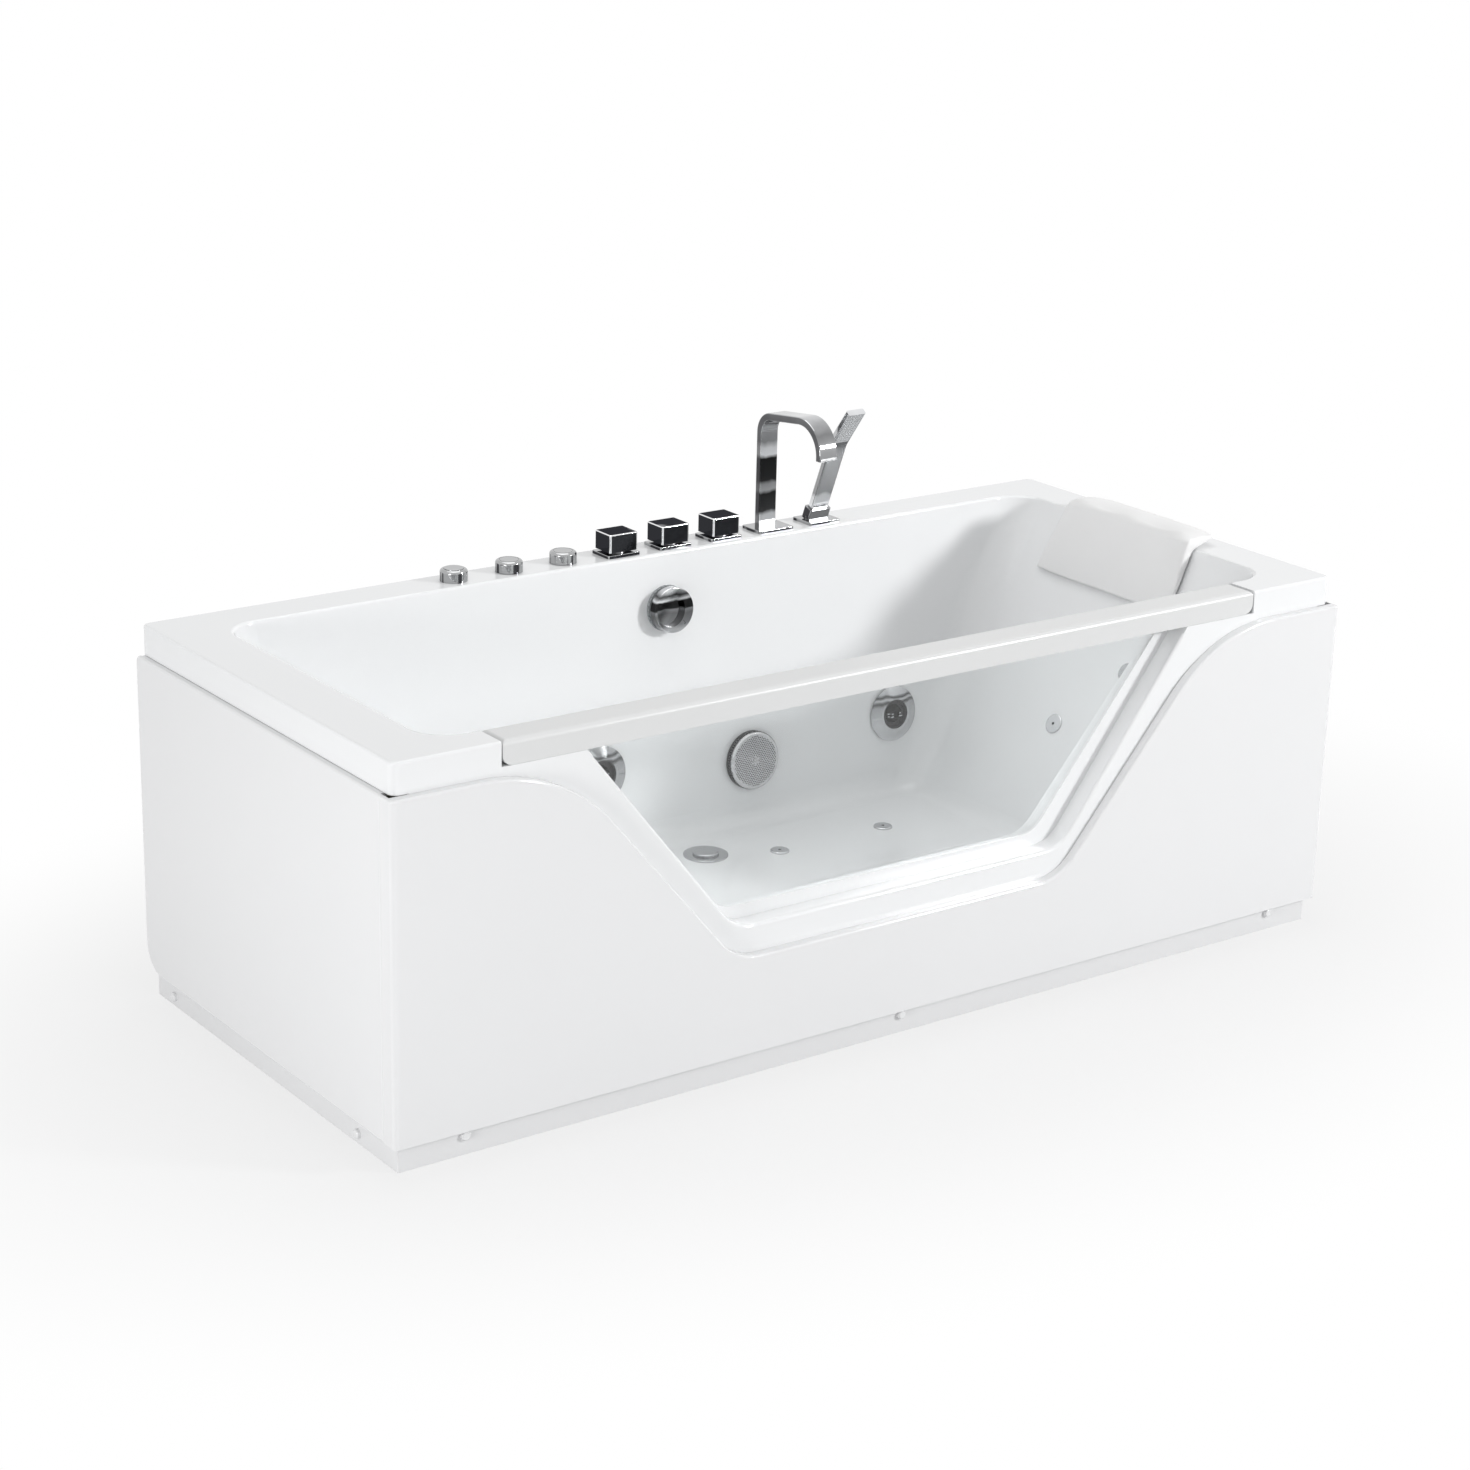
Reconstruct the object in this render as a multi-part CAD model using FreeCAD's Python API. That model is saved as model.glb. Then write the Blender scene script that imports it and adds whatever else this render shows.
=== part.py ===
import FreeCAD
import Part
import math
import os

# Jetted bathtub with a front window, millimetres.
# X runs along the bath with the headrest end at +X, -Y is the front, +Z is up, the floor is Z = 0.

# ---------------------------------------------------------------- overall sizes
PANEL_HALF_LENGTH = 850.0
PANEL_FRONT_Y = -367.5
BACK_Y = 367.5
PANEL_THICKNESS = 5.0
PANEL_BOTTOM_Z = 40.0
PANEL_TOP_Z = 529.5
PANEL_RETURN_DEPTH = 30.0
PANEL_CORNER_R = 8.0
PANEL_EDGE_R = 3.5
PANEL_LIP_BACK_Y = -353.0
END_PANEL_GAP = 0.8
END_PANEL_TOP_BACK_R = 10.0
END_PANEL_LOW_BACK_R = 45.0
END_PANEL_FLANGE = 10.0

RIM_HALF_LENGTH = 840.0
RIM_FRONT_Y = -352.5
RIM_TOP_Z = 575.0
RIM_CORNER_R = 12.0
RIM_EDGE_R = 4.0
LIP_BOTTOM_Z = 530.0
SHELL_T = 6.0
DECK_UNDER_Z = RIM_TOP_Z - SHELL_T
SAME_PLACE = 0.01
HEX_SIDES = 6

# ---------------------------------------------------------------- basin
BASIN_TOP = (-750.0, 762.0, -295.0, 295.0)
BASIN_FLOOR = (-690.0, 503.0, -275.0, 255.0)
BASIN_TOP_R = 55.0
BASIN_FLOOR_R = 60.0
BASIN_FLOOR_Z = 108.0
BASIN_FLOOR_FILLET = 40.0
BASIN_MOUTH_R = 5.0
CUT_PAST = 40.0

# ---------------------------------------------------------------- front window
WINDOW_TOP_Z = 539.8
BAND_OPENING = (-542.5, -292.0, 308.0, 539.1, 230.0)
BAND_OPENING_R = 62.0
BAND_EDGE_R = 5.0
BAND_SIDE_MARGIN = 20.0
BAND_SIDE_LENGTH = 400.0
GLASS_OPENING = (-533.5, -299.2, 278.0, 510.5, 250.0)
GLASS_OPENING_R = 50.0
STRIP_FRONT_Y = -322.0
STRIP_T = 4.0
RECESS_WALL_T = 5.0
SILL_GROW = 14.0
SILL_WALL_T = 5.0
SEAL_T = 2.0
SEAL_INNER_GROW = 2.0
SEAL_OUTER_GROW = 13.8
GLASS_GROW = 12.0
GLASS_T = 8.0
GLASS_TOP_Z = 537.8
SKIRT_OUTLINE = (
    (-815.0, 545.0), (-815.0, 505.0), (-650.0, 480.0), (-530.0, 405.0), (-385.0, 235.0), (-320.0, 165.0),
    (320.0, 165.0), (385.0, 235.0), (530.0, 405.0), (650.0, 480.0), (815.0, 505.0), (815.0, 545.0),
)

# ---------------------------------------------------------------- window top rail
RAIL_HALF_LENGTH = 674.0
RAIL_NOTCH_HALF = 676.5
RAIL_FRONT_Y = -352.0
RAIL_BACK_Y = -295.0
RAIL_BOTTOM_Z = 540.0
RAIL_END_R = 15.0
RAIL_EDGE_R = 8.0
RAIL_WALL = 4.0
LEDGE_T = 6.0
NOTCH_BACK_Y = -289.0
LEDGE_INNER_X = 522.0

# ---------------------------------------------------------------- front panel cut-out
CUTOUT_BOTTOM_Z = 188.0
CUTOUT_BOTTOM_HALF = 299.0
CUTOUT_SIDE_SLOPE = 0.852
CUTOUT_BOTTOM_R = 90.0
CUTOUT_FLARE_R = 260.0
CUTOUT_REACH = 1000.0

# ---------------------------------------------------------------- plinth
PLINTH_HALF_LENGTH = 838.0
PLINTH_FRONT_Y = -353.5
PLINTH_T = 10.0
PLINTH_TOP_Z = 52.0
PLINTH_BACK_Y = 355.0
SCREW_CAP_R = 7.0
SCREW_CAP_PROUD = 6.0
SCREW_SHANK_R = 2.5
SCREW_SHANK = 16.0
FRONT_SCREW_X = (-735.0, 10.0, 757.0)
FRONT_SCREW_Z = 29.0
SIDE_SCREW_Y = (-248.0, 301.0)
SIDE_SCREW_Z = 15.5

# ---------------------------------------------------------------- under-frame
FLOOR_BOARD = (-640.0, 440.0, -225.0, 205.0)
FLOOR_BOARD_T = 14.0
TUBE_SIZE = 25.0
TUBE_WALL = 2.0
BEARER_X = (-800.0, -430.0, -178.0, 240.0, 470.0, 640.0, 800.0)
BEARER_Y = (-325.0, 340.0)
RAIL_Y = (-250.0, 60.0)
RAIL_X = (-815.0, 815.0)
UPRIGHT_SIZE = 20.0
UPRIGHT_X = 800.0
UPRIGHT_Y = (-315.0, 328.0)
FOOT_X = (-800.0, 240.0, 800.0)
FOOT_Y = (-295.0, 310.0)
FOOT_PAD_R = 22.0
FOOT_PAD_H = 9.0
FOOT_STUD_R = 5.0
FOOT_NUT_R = 9.5
FOOT_NUT_H = 8.0
CLIP_X = 822.0
CLIP_Y = (-200.0, 200.0)
CLIP_WIDTH = 11.0
CLIP_GAP = 0.1
CLIP_LOW_Z = 502.0
CLIP_HOOK_Z = 546.0
CLIP_HOOK_T = 6.0

# ---------------------------------------------------------------- headrest
PILLOW_TOP_Z = 600.0
PILLOW_LOW_Z = 479.0
PILLOW_FRONT_TOP_X = 745.0
PILLOW_BACK_X = 806.0
PILLOW_BACK_LOW_Z = 586.0
PILLOW_GAP = 4.0
PILLOW_TIP_T = 5.0
PILLOW_NOSE_R = 11.0
PILLOW_CROWN = 4.0
PILLOW_LEAST_CROWN = 0.5
PILLOW_FLAP_INSET = 3.0
PILLOW_SIDES = ((-128.0, -140.0), (158.0, 182.0))
PILLOW_STATIONS = ((0.0, 7.0), (0.035, 2.6), (0.12, 0.7), (0.5, 0.0), (0.88, 0.7), (0.965, 2.6), (1.0, 7.0))
SUCKER_Y = (-60.0, 95.0)
SUCKER_Z = 540.0
SUCKER_R = 14.0

# ---------------------------------------------------------------- deck fittings
DECK_PITCH = 98.3
DECK_FIRST_X = -340.0
KNOB_Y = 329.0
VALVE_Y = 328.0
DECK_HOLE_R = 15.0
SHANK_R = 14.0
SHANK_BORE_R = 10.0
SHANK_LOW_Z = 540.0
NUT_TOP_Z = 568.8
NUT_BOTTOM_Z = 557.0
NUT_ACROSS_R = 22.0
KNOB_R = 21.5
KNOB_TOP_Z = 594.0
KNOB_BOTTOM_Z = 575.6
KNOB_EDGE_R = 5.0
KNOB_DISC_R = 15.5
KNOB_GROOVE_W = 0.8
KNOB_GROOVE_DEPTH = 0.8
KNOB_FLANGE_R = 17.0
KNOB_FLANGE_TOP_Z = 578.0
KNOB_POCKET_R = 17.6
KNOB_POCKET_TOP_Z = 578.6
STEM_R = 5.0
STEM_FIT = 0.05
KNOB_STEM_TOP_Z = 588.0
BUTTON_R = 15.2
BUTTON_TOP_Z = 595.0
BUTTON_SKIRT_Z = 585.0
BUTTON_WELL_R = 15.5
BUTTON_WELL_Z = 577.0
BUTTON_STEM_LOW_Z = 560.0
BELLOWS_R = 9.0
BELLOWS_INNER_R = 5.6
REGULATOR_R = 18.0
REGULATOR_LOW_Z = 470.0
REGULATOR_SPIGOT_R = 6.0

PLATE_TOP_Z = 580.0
VALVE_PLATE = (60.0, 48.0)
SPOUT_PLATE = (68.0, 50.0)
SHOWER_PLATE = (60.0, 50.0)
PLATE_CORNER_R = 3.0
COLLAR_R = 16.0
COLLAR_TOP_Z = 583.0
HANDLE_SIZE = (52.0, 44.0)
HANDLE_BOTTOM_Z = 583.4
HANDLE_TOP_Z = 612.5
HANDLE_EDGE_R = 3.6
HANDLE_TOP_EDGE_R = 2.0
VALVE_STEM_TOP_Z = 603.0
VALVE_BODY_R = 19.0
VALVE_BODY_LOW_Z = 512.0
VALVE_PORT_R = 9.0
VALVE_PORT_Z = 526.0
VALVE_PORT_REACH = 10.0

# ---------------------------------------------------------------- spout
STRAP_WIDTH = 34.0
SPOUT_T = 12.0
SPOUT_CORNER_R = 2.0
SPOUT_ROUTE = ((336.0, 580.0), (336.0, 761.9), (179.0, 780.7), (179.0, 719.5))
SPOUT_BENDS = (30.0, 50.0)
SPOUT_SLOT = (26.0, 6.0, 14.0)

# ---------------------------------------------------------------- hand shower
WAND_T = 11.0
WAND_FOOT = (330.0, 586.0)
WAND_KNEE = (279.5, 713.5)
WAND_TIP = (233.0, 775.0)
WAND_BEND = 45.0
WAND_CORNER_R = 2.5
SPRAY_LENGTH = 62.0
SPRAY_WIDTH = 27.0
SPRAY_T = 2.0
SPRAY_FROM_TIP = 5.0
SPRAY_HOLE_R = 0.9
SPRAY_PITCH = 5.6
SPRAY_ROWS = 10
SPRAY_COLUMNS = 4
SOCKET_WALL = 3.5
SOCKET_FIT = 0.3
SOCKET_DEPTH = 14.0

# ---------------------------------------------------------------- fittings on the back wall
OVERFLOW_X = 24.0
OVERFLOW_Z = 486.0
OVERFLOW_KNOB_R = 36.5
OVERFLOW_PROUD = 24.0
OVERFLOW_KNOB_BASE = 10.0
OVERFLOW_KNOB_EDGE_R = 2.0
OVERFLOW_FLANGE_R = 37.0
OVERFLOW_FLANGE_T = 6.0
OVERFLOW_NOTCHES = 30
OVERFLOW_NOTCH = 2.0
OVERFLOW_BOWL_R = 26.4
OVERFLOW_BOWL_X = -6.6
OVERFLOW_BOWL_DEPTH = 9.0
OVERFLOW_LIP_HEIGHT = 14.0
OVERFLOW_MARK = (24.0, 31.0, -52.0)
OVERFLOW_WATERWAYS = 6
OVERFLOW_SHANK_R = 17.0
OVERFLOW_HOLE_R = 17.5
OVERFLOW_CUP_R = 22.0
OVERFLOW_CUP_DEPTH = 70.0
OVERFLOW_STEM_R = 6.0
CUP_WALL = 3.0
CUP_START = -6.6

SUCTION_X = 177.0
SUCTION_Z = 213.0
SUCTION_COVER_R = 48.5
SUCTION_PROUD = 15.0
SUCTION_SHELL_T = 3.0
SUCTION_EDGE_R = 6.0
SUCTION_FLANGE_R = 42.0
SUCTION_FLANGE_T = 4.0
SUCTION_HOLE_R = 30.0
SUCTION_SHANK_R = 29.5
SUCTION_CUP_R = 34.0
SUCTION_CUP_DEPTH = 84.0
SUCTION_SLOTS = 66
SUCTION_SLOT_W = 2.0
SUCTION_SLOT_H = 9.5
SUCTION_PORE_R = 1.15
SUCTION_PORE_PITCH = 3.6
SUCTION_PORE_FIELD_R = 41.0
SUCTION_BOSS_R = 6.0
SUCTION_SCREW_R = 3.0
SUCTION_SCREW_HEAD_R = 5.0
SUCTION_PIPE_DEPTH = 66.0
SUCTION_PIPE_R = 18.0
SUCTION_PIPE_BORE_R = 15.5

JET_X = (-115.0, 471.0)
JET_Z = 240.0
JET_RING_R = 46.5
JET_RING_INNER_R = 25.0
JET_RING_CROWN_R = 29.0
JET_RING_PROUD = 10.0
JET_RING_BASE = 2.3
JET_RING_EDGE_Z = 4.0
JET_FLANGE_R = 43.0
JET_FLANGE_T = 2.0
JET_HOLE_R = 30.5
JET_BODY_R = 30.0
JET_BODY_DEPTH = 40.0
JET_LIP_R = 24.7
JET_BALL_R = 17.0
JET_BALL_SINK = 4.0
JET_BALL_FIT = 0.1
JET_BALL_FRONT = 5.0
JET_NOZZLE_R = 12.5
JET_NOZZLE_FRONT = 12.5
JET_NOZZLE_LOBES = 6
JET_LOBE_R = 4.0
JET_BORE_R = 6.0
JET_SPIGOT_R = 9.0
JET_SPIGOT_BORE_R = 7.0
JET_SPIGOT_DEPTH = 26.0
JET_AIR_OFFSET = (10.0, 14.0)
JET_AIR_R = 5.0

# ---------------------------------------------------------------- drain
DRAIN_X = 24.0
DRAIN_Y = 169.0
DRAIN_FLANGE_R = 36.0
DRAIN_FLANGE_T = 2.5
DRAIN_HOLE_R = 26.5
DRAIN_SHANK_R = 26.0
DRAIN_BORE_R = 18.0
DRAIN_SHANK_LOW_Z = 82.0
DRAIN_CAP_R = 21.0
DRAIN_CAP_T = 4.0
DRAIN_CAP_Z = 111.0
DRAIN_SKIRT_R = 16.5
DRAIN_SKIRT_Z = 105.0
DRAIN_STEM_R = 3.0
DRAIN_STEM_LOW_Z = 84.0
DRAIN_SPIDER_R = 5.0
DRAIN_SPIDER_Z = 94.0
DRAIN_SPIDER_T = 4.0
TRAP_R = 38.0
TRAP_TOP_Z = 87.5
TRAP_BOTTOM_Z = 6.0
TRAP_WALL = 3.0
TRAP_OUTLET_Z = 33.0
TRAP_OUTLET_R = 20.0
TRAP_OUTLET_BORE_R = 18.0
TRAP_OUTLET_ROOT_R = 23.0
TRAP_OUTLET_ROOT_Y = 217.0
TRAP_OUTLET_END_Y = 277.0
OVERFLOW_PIPE_Y = 350.0
OVERFLOW_PIPE_R = 13.0
OVERFLOW_PIPE_BORE_R = 11.0
OVERFLOW_PIPE_LOW_Z = 74.0
OVERFLOW_PIPE_BEND = 40.0

# ---------------------------------------------------------------- air jets
AIR_JET_X = (-282.0, -74.0, 134.0, 343.0)
AIR_JET_Y = (-120.0, 120.0)
AIR_JET_CAP_R = 15.5
AIR_JET_CAP_T = 3.0
AIR_JET_SHANK_R = 9.0
AIR_JET_HOLE_R = 9.3
AIR_JET_PORE_R = 2.5
AIR_JET_LOW_Z = 60.0
SLOPE_JET_PLACES = ((0.0, 275.0), (-101.0, 380.0), (101.0, 380.0))
SLOPE_JET_CAP_R = 16.5
SLOPE_JET_TAIL = 26.0
GALLERY_Z = 50.0
GALLERY_R = 10.0
GALLERY_BORE_R = 8.0
FEED_R = 11.0
FEED_BORE_R = 9.0
GALLERY_END_X = -296.0
GALLERY_HEADER_X = 420.0
GALLERY_HEADER_Z = 76.0
GALLERY_BEND = 12.0

# ---------------------------------------------------------------- pump
PUMP_X = 720.0
VOLUTE_R = 68.0
VOLUTE_Y = (102.0, 150.0)
VOLUTE_WALL = 5.0
PUMP_SPIGOT_END_Y = 184.0
PUMP_OUTLET_X = 758.0
PUMP_OUTLET_R = 16.0
PUMP_OUTLET_BORE_R = 12.0
PUMP_OUTLET_RISE = 84.0
MOTOR_R = 58.0
MOTOR_Y = (-70.0, 101.0)
MOTOR_WALL = 4.0
MOTOR_FIN_H = 5.0
MOTOR_FIN_T = 3.0
MOTOR_FINS = 20
STATOR_INNER_R = 28.0
STATOR_Y = (-40.0, 70.0)
ROTOR_R = 27.0
SHAFT_R = 6.0
SHAFT_FIT = 0.05
SHAFT_Y = (-98.0, 134.0)
FAN_R = 46.0
FAN_Y = (-92.0, -78.0)
FAN_HUB_R = 12.0
FAN_BLADES = 7
BLADE_T = 2.0
COWL_R = 60.0
COWL_Y = (-112.0, -62.0)
COWL_WALL = 2.0
COWL_SLOTS = 12
COWL_SLOT_W = 5.0
COWL_SLOT_R = (16.0, 50.0)
IMPELLER_R = 56.0
IMPELLER_Y = (114.0, 132.0)
IMPELLER_DISC_T = 3.0
PUMP_BASE = (632.0, 812.0, -55.0, 95.0)
BASE_T = 4.0
SADDLE_HALF = 40.0
SADDLE_T = 8.0
SADDLE_Y = (-45.0, 80.0)

# ---------------------------------------------------------------- air blower
BLOWER_X = 725.0
BLOWER_Z = 168.0
BLOWER_R = 60.0
BLOWER_Y = (-258.0, -190.0)
BLOWER_WALL = 4.0
BLOWER_INTAKE_R = 22.0
BLOWER_MOTOR_R = 34.0
BLOWER_MOTOR_END_Y = -140.0
BLOWER_OUTLET_DROP = 40.0
BLOWER_OUTLET_END_X = 650.0
BLOWER_FAN_R = 48.0
BLOWER_FAN_Y = (-246.0, -204.0)
BLOWER_FAN_DISC_T = 3.0
BLOWER_BLADES = 12
BLOWER_SHAFT_R = 4.0
BLOWER_SHAFT_END_Y = -160.0
BLOWER_BASE = (632.0, 812.0, -252.0, -196.0)
BLOWER_PIPE_X = 590.0
BLOWER_PIPE_BEND = 20.0
SLOPE_TUBE_R = 7.0
SLOPE_TUBE_BEND = 25.0

# ---------------------------------------------------------------- water and air lines
PRESSURE_Z = 330.0
PRESSURE_R = 12.0
PRESSURE_BORE_R = 10.0
PRESSURE_BEND = 30.0
SUCTION_BEND = 60.0
AIR_LINE_Y = 330.0
AIR_LINE_Z = 372.0
AIR_LINE_R = 5.0
AIR_LINE_BORE_R = 3.5
AIR_LINE_BEND = 12.0

# ---------------------------------------------------------------- deck supply pipes
SUPPLY_R = 7.5
SUPPLY_BORE_R = 6.5
SUPPLY_BEND = 22.0
INLET_R = 10.48
INLET_LENGTH = 18.0
INLET_Z = 400.0
INLET_END_Y = 360.0
INLET_BEND = 12.0
SHOWER_FEED_Z = 480.0

# ---------------------------------------------------------------- control box and its tubes
BOX_X = (-832.0, -772.0)
BOX_Y = (-110.0, 110.0)
BOX_Z = (88.0, 250.0)
BOX_WALL = 3.0
LID_T = 4.0
GLAND_X = -783.0
GLAND_Z = 120.0
GLAND_R = 10.0
GLAND_BORE_R = 5.0
GLAND_LENGTH = 14.0
SIGNAL_TUBE_R = 3.0
SIGNAL_TUBE_TOP_Z = 519.0
SIGNAL_TUBE_Z = 440.0
SIGNAL_TUBE_X = -785.0
SIGNAL_TUBE_Y = 60.0
SIGNAL_TUBE_BEND = 30.0
CABLE_R = 4.0
CABLE_BEND = 28.0
CABLE_Y = -300.0
CABLE_LEFT_X = -740.0
PUMP_CABLE = (-90.0, 150.0, 590.0)
BLOWER_CABLE = (-60.0, 165.0, 640.0)
BLOWER_CABLE_END_Y = -165.0


def vec(x, y, z):
    return FreeCAD.Vector(x, y, z)


AXIS_X = vec(1, 0, 0)
AXIS_Y = vec(0, 1, 0)
AXIS_Z = vec(0, 0, 1)


def block(x0, x1, y0, y1, z0, z1):
    return Part.makeBox(x1 - x0, y1 - y0, z1 - z0, vec(x0, y0, z0))


def rod(radius, start, end):
    return Part.makeCylinder(radius, (end - start).Length, start, end - start)


def sleeve(outer, inner, start, end):
    return rod(outer, start, end).cut(rod(inner, start, end))


def joined(shapes):
    first = shapes[0]
    if len(shapes) == 1:
        return first
    return first.fuse(list(shapes[1:])).removeSplitter()


def without(body, tools):
    return body.cut(list(tools)).removeSplitter()


def route(points, bends):
    """A path of straight runs joined by tangent arcs, one bend radius for each inner point."""
    edges = []
    start = points[0]
    for before, corner, after, bend in zip(points, points[1:], points[2:], bends):
        back = (before - corner).normalize()
        ahead = (after - corner).normalize()
        half_angle = back.getAngle(ahead) / 2
        reach = bend / math.tan(half_angle)
        inward = (back + ahead).normalize()
        arc_start = corner + back * reach
        arc_middle = corner + inward * (bend / math.sin(half_angle) - bend)
        arc_end = corner + ahead * reach
        edges.append(Part.LineSegment(start, arc_start).toShape())
        edges.append(Part.Arc(arc_start, arc_middle, arc_end).toShape())
        start = arc_end
    edges.append(Part.LineSegment(start, points[-1]).toShape())
    return edges


def closed_face(points, bends):
    edges = route(points, bends)
    edges.append(Part.LineSegment(points[-1], points[0]).toShape())
    return Part.Face(Part.Wire(edges))


def pipe(points, bend, outer, inner=0.0):
    path = Part.Wire(route(points, [bend] * (len(points) - 2)))
    heading = points[1] - points[0]

    def swept(radius):
        circle = Part.Wire([Part.makeCircle(radius, points[0], heading)])
        return path.makePipeShell([circle], True, False)

    solid = swept(outer)
    if inner:
        solid = solid.cut(swept(inner))
    return solid


def rounded_rectangle(x0, x1, y0, y1, z, radius):
    corners = (
        (vec(x0 + radius, y0, z), vec(x1 - radius, y0, z), vec(x1 - radius, y0 + radius, z), -90),
        (vec(x1, y0 + radius, z), vec(x1, y1 - radius, z), vec(x1 - radius, y1 - radius, z), 0),
        (vec(x1 - radius, y1, z), vec(x0 + radius, y1, z), vec(x0 + radius, y1 - radius, z), 90),
        (vec(x0, y1 - radius, z), vec(x0, y0 + radius, z), vec(x0 + radius, y0 + radius, z), 180),
    )
    edges = []
    for start, end, centre, first_angle in corners:
        edges.append(Part.LineSegment(start, end).toShape())
        edges.append(Part.makeCircle(radius, centre, AXIS_Z, first_angle, first_angle + 90))
    return Part.Wire(edges)


def rounded_block(x0, x1, y0, y1, z0, z1, radius):
    wire = rounded_rectangle(x0, x1, y0, y1, z0, radius)
    return Part.Face(wire).extrude(vec(0, 0, z1 - z0))


def edges_where(shape, test):
    return [edge for edge in shape.Edges if test(edge)]


def lies_at_z(edge, z):
    box = edge.BoundBox
    return abs(box.ZMin - z) < SAME_PLACE and abs(box.ZMax - z) < SAME_PLACE


def lies_at_y(edge, y):
    box = edge.BoundBox
    return abs(box.YMin - y) < SAME_PLACE and abs(box.YMax - y) < SAME_PLACE


def local_frame(origin, right, up):
    """Local +X is to the right on the wall, +Y up it and +Z out of it."""
    return FreeCAD.Placement(origin, FreeCAD.Rotation(right, up, right.cross(up), "ZXY"))


def placed(shape, frame):
    moved = shape.copy()
    moved.Placement = frame.multiply(moved.Placement)
    return moved


def back_wall_frame(x, z):
    run = BASIN_TOP[3] - BASIN_FLOOR[3]
    rise = RIM_TOP_Z - BASIN_FLOOR_Z
    up = vec(0, run, rise).normalize()
    y = BASIN_FLOOR[3] + run * (z - BASIN_FLOOR_Z) / rise
    return local_frame(vec(x, y, z), AXIS_X, up)


def slope_x(z):
    run = BASIN_TOP[1] - BASIN_FLOOR[1]
    return BASIN_FLOOR[1] + run * (z - BASIN_FLOOR_Z) / (RIM_TOP_Z - BASIN_FLOOR_Z)


def slope_frame(y, z):
    up = vec(BASIN_TOP[1] - BASIN_FLOOR[1], 0, RIM_TOP_Z - BASIN_FLOOR_Z).normalize()
    return local_frame(vec(slope_x(z), y, z), AXIS_Y * -1, up)


def window_face(opening, radius, grow, y, top_z):
    """The window's outline, wider at the top, grown outwards all round by the given amount."""
    top_left, low_left, low_right, top_right, low_z = opening
    height = WINDOW_TOP_Z - low_z
    left_lean = (top_left - low_left) / height
    right_lean = (top_right - low_right) / height
    left_shift = grow * math.hypot(1, left_lean)
    right_shift = grow * math.hypot(1, right_lean)
    bottom = low_z - grow
    points = [
        vec(low_left - left_shift + left_lean * (top_z - low_z), y, top_z),
        vec(low_left - left_shift - left_lean * grow, y, bottom),
        vec(low_right + right_shift - right_lean * grow, y, bottom),
        vec(low_right + right_shift + right_lean * (top_z - low_z), y, top_z),
    ]
    return closed_face(points, [radius + grow] * 2)


def window_prism(opening, radius, grow, y0, y1, top_z):
    return window_face(opening, radius, grow, y0, top_z).extrude(vec(0, y1 - y0, 0))


def hexagon(across_r, centre, height):
    corners = []
    for corner in range(HEX_SIDES + 1):
        angle = 2 * math.pi * corner / HEX_SIDES
        corners.append(centre + vec(across_r * math.cos(angle), across_r * math.sin(angle), 0))
    return Part.Face(Part.makePolygon(corners)).extrude(vec(0, 0, height))


def ring_of(shape, count, centre, axis):
    copies = []
    for index in range(count):
        turned = shape.copy()
        turned.rotate(centre, axis, 360 * index / count)
        copies.append(turned)
    return copies


def basin_solid(grow, floor_z, fillet, top_z):
    def outline(sizes, z, radius):
        x0, x1, y0, y1 = sizes
        return rounded_rectangle(x0 - grow, x1 + grow, y0 - grow, y1 + grow, z, radius + grow)

    tub = Part.makeLoft([outline(BASIN_FLOOR, floor_z, BASIN_FLOOR_R), outline(BASIN_TOP, top_z, BASIN_TOP_R)],
                        True, True)
    return tub.makeFillet(fillet, edges_where(tub, lambda edge: lies_at_z(edge, floor_z)))


# ================================================================ places used by several pieces
knob_xs = [DECK_FIRST_X + DECK_PITCH * index for index in range(3)]
valve_xs = [DECK_FIRST_X + DECK_PITCH * index for index in range(3, 6)]
spout_x = DECK_FIRST_X + DECK_PITCH * 6
shower_x = DECK_FIRST_X + DECK_PITCH * 7
deck_points = [(x, KNOB_Y) for x in knob_xs]
deck_points += [(x, VALVE_Y) for x in valve_xs + [spout_x, shower_x]]
overflow_frame = back_wall_frame(OVERFLOW_X, OVERFLOW_Z)
suction_frame = back_wall_frame(SUCTION_X, SUCTION_Z)
jet_frames = [back_wall_frame(x, JET_Z) for x in JET_X]
slope_jet_frames = [slope_frame(y, z) for y, z in SLOPE_JET_PLACES]
air_jet_points = [(x, y) for y in AIR_JET_Y for x in AIR_JET_X]
suction_outlet = suction_frame.multVec(vec(SUCTION_CUP_R, 0, -SUCTION_PIPE_DEPTH))
pump_z = suction_outlet.z
board_low_z = BASIN_FLOOR_Z - SHELL_T - FLOOR_BOARD_T
bearer_low_z = board_low_z - TUBE_SIZE
nodes = {}


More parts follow.
